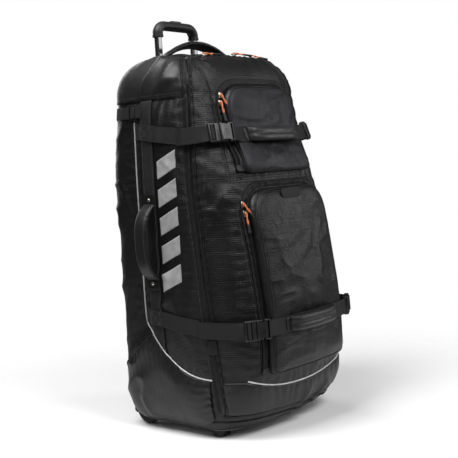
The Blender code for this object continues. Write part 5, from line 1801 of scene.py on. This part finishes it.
def trolleyGrip():
    low, high = (Vector(c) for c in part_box("trolley_grip"))
    y, top = (low.y + high.y) / 2, high.z
    reach, radius = trolley["reach"], trolley["bend"]
    bar = top - trolley["bar"] / 2
    path = [Vector((-reach, y, low.z + k)) for k in (0.0, 0.0012, 0.0060, 0.0066, 0.0078)]
    path += [Vector((-reach + radius - radius * math.cos(math.radians(a)), y,
                     bar - radius + radius * math.sin(math.radians(a)))) for a in range(0, 91, 10)]
    path += [Vector((x / 1000, y, bar)) for x in range(-39, 0, 6)]
    path += [Vector((-p.x, p.y, p.z)) for p in reversed(path)]
    bm = bmesh.new()
    rings = []
    for i, p in enumerate(path):
        along = (path[min(i + 1, len(path) - 1)] - path[max(i - 1, 0)]).normalized()
        inward = Vector((along.z, 0, -along.x))
        swell = 1.0 + 0.14 * (1 - min(abs(p.x) / 0.045, 1.0) ** 2)
        rise = p.z - low.z
        collar = 1.05 if rise < 0.0062 and abs(p.x) > 0.06 else 0.96 if rise < 0.0080 else 1.0
        rings.append([p + inward * (trolley["bar"] / 2 * collar * math.cos(2 * math.pi * k / 28))
                      + Vector((0, trolley["deep"] * swell * collar * math.sin(2 * math.pi * k / 28), 0))
                      for k in range(28)])
    grid = addRows(bm, rings, lambda a, b: (a * 0.004, b * 0.003), closed=True)
    bm.faces.new(grid[0][::-1])
    bm.faces.new(grid[-1])
    bmesh.ops.recalc_face_normals(bm, faces=bm.faces[:])
    grip = pieceFrom("trolleyGrip", bm, "plasticSoft", None)
    cutWith(grip, block((-0.0176, y - 0.0071, top - 0.010), (0.0176, y + 0.0071, top + 0.02)))
    grip.data.shade_smooth()
    grip.data.set_sharp_from_angle(angle=math.radians(40))
    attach(grip, "trolley_inner")
    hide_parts("trolley_grip")


def turnedRows(profile, middle, side, count):
    return [[middle + Vector((side * x, r * math.cos(2 * math.pi * k / count),
                              r * math.sin(2 * math.pi * k / count)))
             for k in range(count)] for x, r in profile]


wheel = {"radius": 0.036, "half": 0.013, "hub": 0.022, "spokes": 6, "blocks": 36}


def makeWheel(side):
    middle = middleOf(tagged("wheel_tyre", side))
    radius, half = wheel["radius"], wheel["half"]
    profile = [(-half + 0.001, 0.0228), (-half, 0.0260), (-half, 0.0310), (-half + 0.0022, 0.0348),
               (-0.0065, radius),
               (-0.0024, radius), (-0.0018, radius - 0.0016), (0.0018, radius - 0.0016), (0.0024, radius),
               (0.0065, radius), (half - 0.0022, 0.0348), (half, 0.0310), (half, 0.0260),
               (half - 0.001, 0.0228)]
    bm = bmesh.new()
    count = wheel["blocks"] * 3
    rows = turnedRows(profile, middle, 1, count)
    for i in (3, 4, 9, 10):
        for k in range(0, count, 3):
            rows[i][k] = middle + (rows[i][k] - middle) * 0.975 + Vector(((rows[i][k].x - middle.x) * 0.025,
                                                                          0, 0))
    rows.append(rows[0])
    addRows(bm, rows, lambda a, b: (a * 0.004, b * 0.002), closed=True)
    weld(bm)
    bmesh.ops.recalc_face_normals(bm, faces=bm.faces[:])
    body = tagged("wheel", side)
    tyre = pieceFrom(sideName("tyre", side), bm, "rubber", body, sharp=32)
    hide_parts(tagged("wheel_tyre", side))

    bm = bmesh.new()
    profile = [(-half + 0.0010, 0.0034), (-half + 0.0010, 0.0080), (-half + 0.0040, 0.0090),
               (-half + 0.0040, 0.0180),
               (-half + 0.0016, 0.0190), (-half + 0.0016, 0.0222), (half - 0.0016, 0.0222),
               (half - 0.0016, 0.0190),
               (half - 0.0040, 0.0180), (half - 0.0040, 0.0090), (half - 0.0010, 0.0080),
               (half - 0.0010, 0.0034)]
    rows = turnedRows(profile, middle, 1, 60)
    rows.append(rows[0])
    addRows(bm, rows, lambda a, b: (a * 0.004, b * 0.002), closed=True)
    weld(bm)
    bmesh.ops.recalc_face_normals(bm, faces=bm.faces[:])
    hub = pieceFrom(sideName("hub", side), bm, "plastic", None)
    for k in range(wheel["spokes"]):
        turn = 2 * math.pi * k / wheel["spokes"]
        restNothing()
        place = middle + Vector((0, 0.0136 * math.cos(turn), 0.0136 * math.sin(turn)))
        bpy.ops.mesh.primitive_cylinder_add(vertices=20, radius=0.0038, depth=0.05, location=place,
                                            rotation=(0, math.pi / 2, 0))
        cutWith(hub, bpy.context.object)
    finished(hub, "plastic")
    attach(hub, body)
    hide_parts(tagged("wheel_hub", side))


def makeFoot(side):
    low, high = (Vector(c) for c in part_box(tagged("front_foot", side)))
    made = block(low, high, 0.0030)
    for k in range(4):
        x = low.x + (high.x - low.x) * (k + 1) / 5
        cutWith(made, block((x - 0.0011, low.y - 0.01, -0.01), (x + 0.0011, low.y + 0.0014, high.z - 0.005)))
    finished(made, "rubber")
    made.name = sideName("foot", side)
    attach(made, "root")
    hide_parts(tagged("front_foot", side))


trolleyGrip()
for side in (-1, 1):
    makeWheel(side)
    makeFoot(side)
print("trolley, wheels and feet made")


# plain slanted reflective bars down the upper side panel
bars = {"count": 5, "top": 0.664, "pitch": 0.066, "length": 0.042, "rear": 0.036, "front": -0.020,
        "slant": 0.026}


def sideBars():
    for k in range(bars["count"]):
        high = bars["top"] - bars["pitch"] * k

        def place(u, v, high=high):
            y = bars["rear"] + (bars["front"] - bars["rear"]) * v
            z = high - bars["length"] * (1 - u) + bars["slant"] * (v - 0.5)
            return z, -roundTo(z, y + form["shift"])
        layPatch(f"reflectiveBar{k + 1}", "root", "print", 14, 18, place, 0.0003, 0.0004)


def smallTabs():
    for side in (-1, 1):
        z = 0.222
        s = side * (rimAt(z) - 0.0005)
        p, out = skin(z, s, 0.0024)
        tab(sideName("zipGarage", side), p, Vector((0, 0, 1)), out, (0.024, 0.034), "root")
    for x in (-0.132, 0.132):
        p, out = crownSkin(x, onBody(form["top"], rimAt(form["top"])).y, 0.0030)
        tab("crownTab" + ("Left" if x < 0 else "Right"), p, Vector((0, 1, 0)), out, (0.022, 0.034), "root")


slotFinish = {"ripstop": "ripstop", "twill": "twill", "coated_fabric": "coated", "webbing": "webbing",
              "black_plastic": "plastic", "gloss_tube": "tube", "reflective_piping": "piping",
              "tyre_rubber": "rubber", "steel": "steel", "board": "plasticSoft", "orange_pull": "orange"}
nodeFinish = {"trolley_bezel": "plasticSoft", "trolley_frame": "tube", "release_button": "plastic",
              "wheel_housing_left": "plasticSoft", "wheel_housing_right": "plasticSoft"}


def finishNodes():
    slots = {part["node"]: part["material_slot"] for part in frame["record"]["subparts"]}
    for name, node in frame["nodes"].items():
        finish = finishes[nodeFinish.get(name, slotFinish[slots[name]])]
        if not node.material_slots:
            node.data.materials.append(finish)
        for holder in node.material_slots:
            holder.material = finish


sideBars()
smallTabs()
finishNodes()
print("trims sewn")

for body, bm in stitchPieces.items():
    bmesh.ops.recalc_face_normals(bm, faces=bm.faces[:])
    words = body.split("_")
    pieceFrom("thread" + "".join(w.capitalize() for w in words), bm, "thread", body)

bpy.ops.mesh.primitive_plane_add(size=16, location=(0, 0, 0))
floor = bpy.context.object
floor.name = "floor"
floor.data.materials.append(floorFinish("paleFloor"))
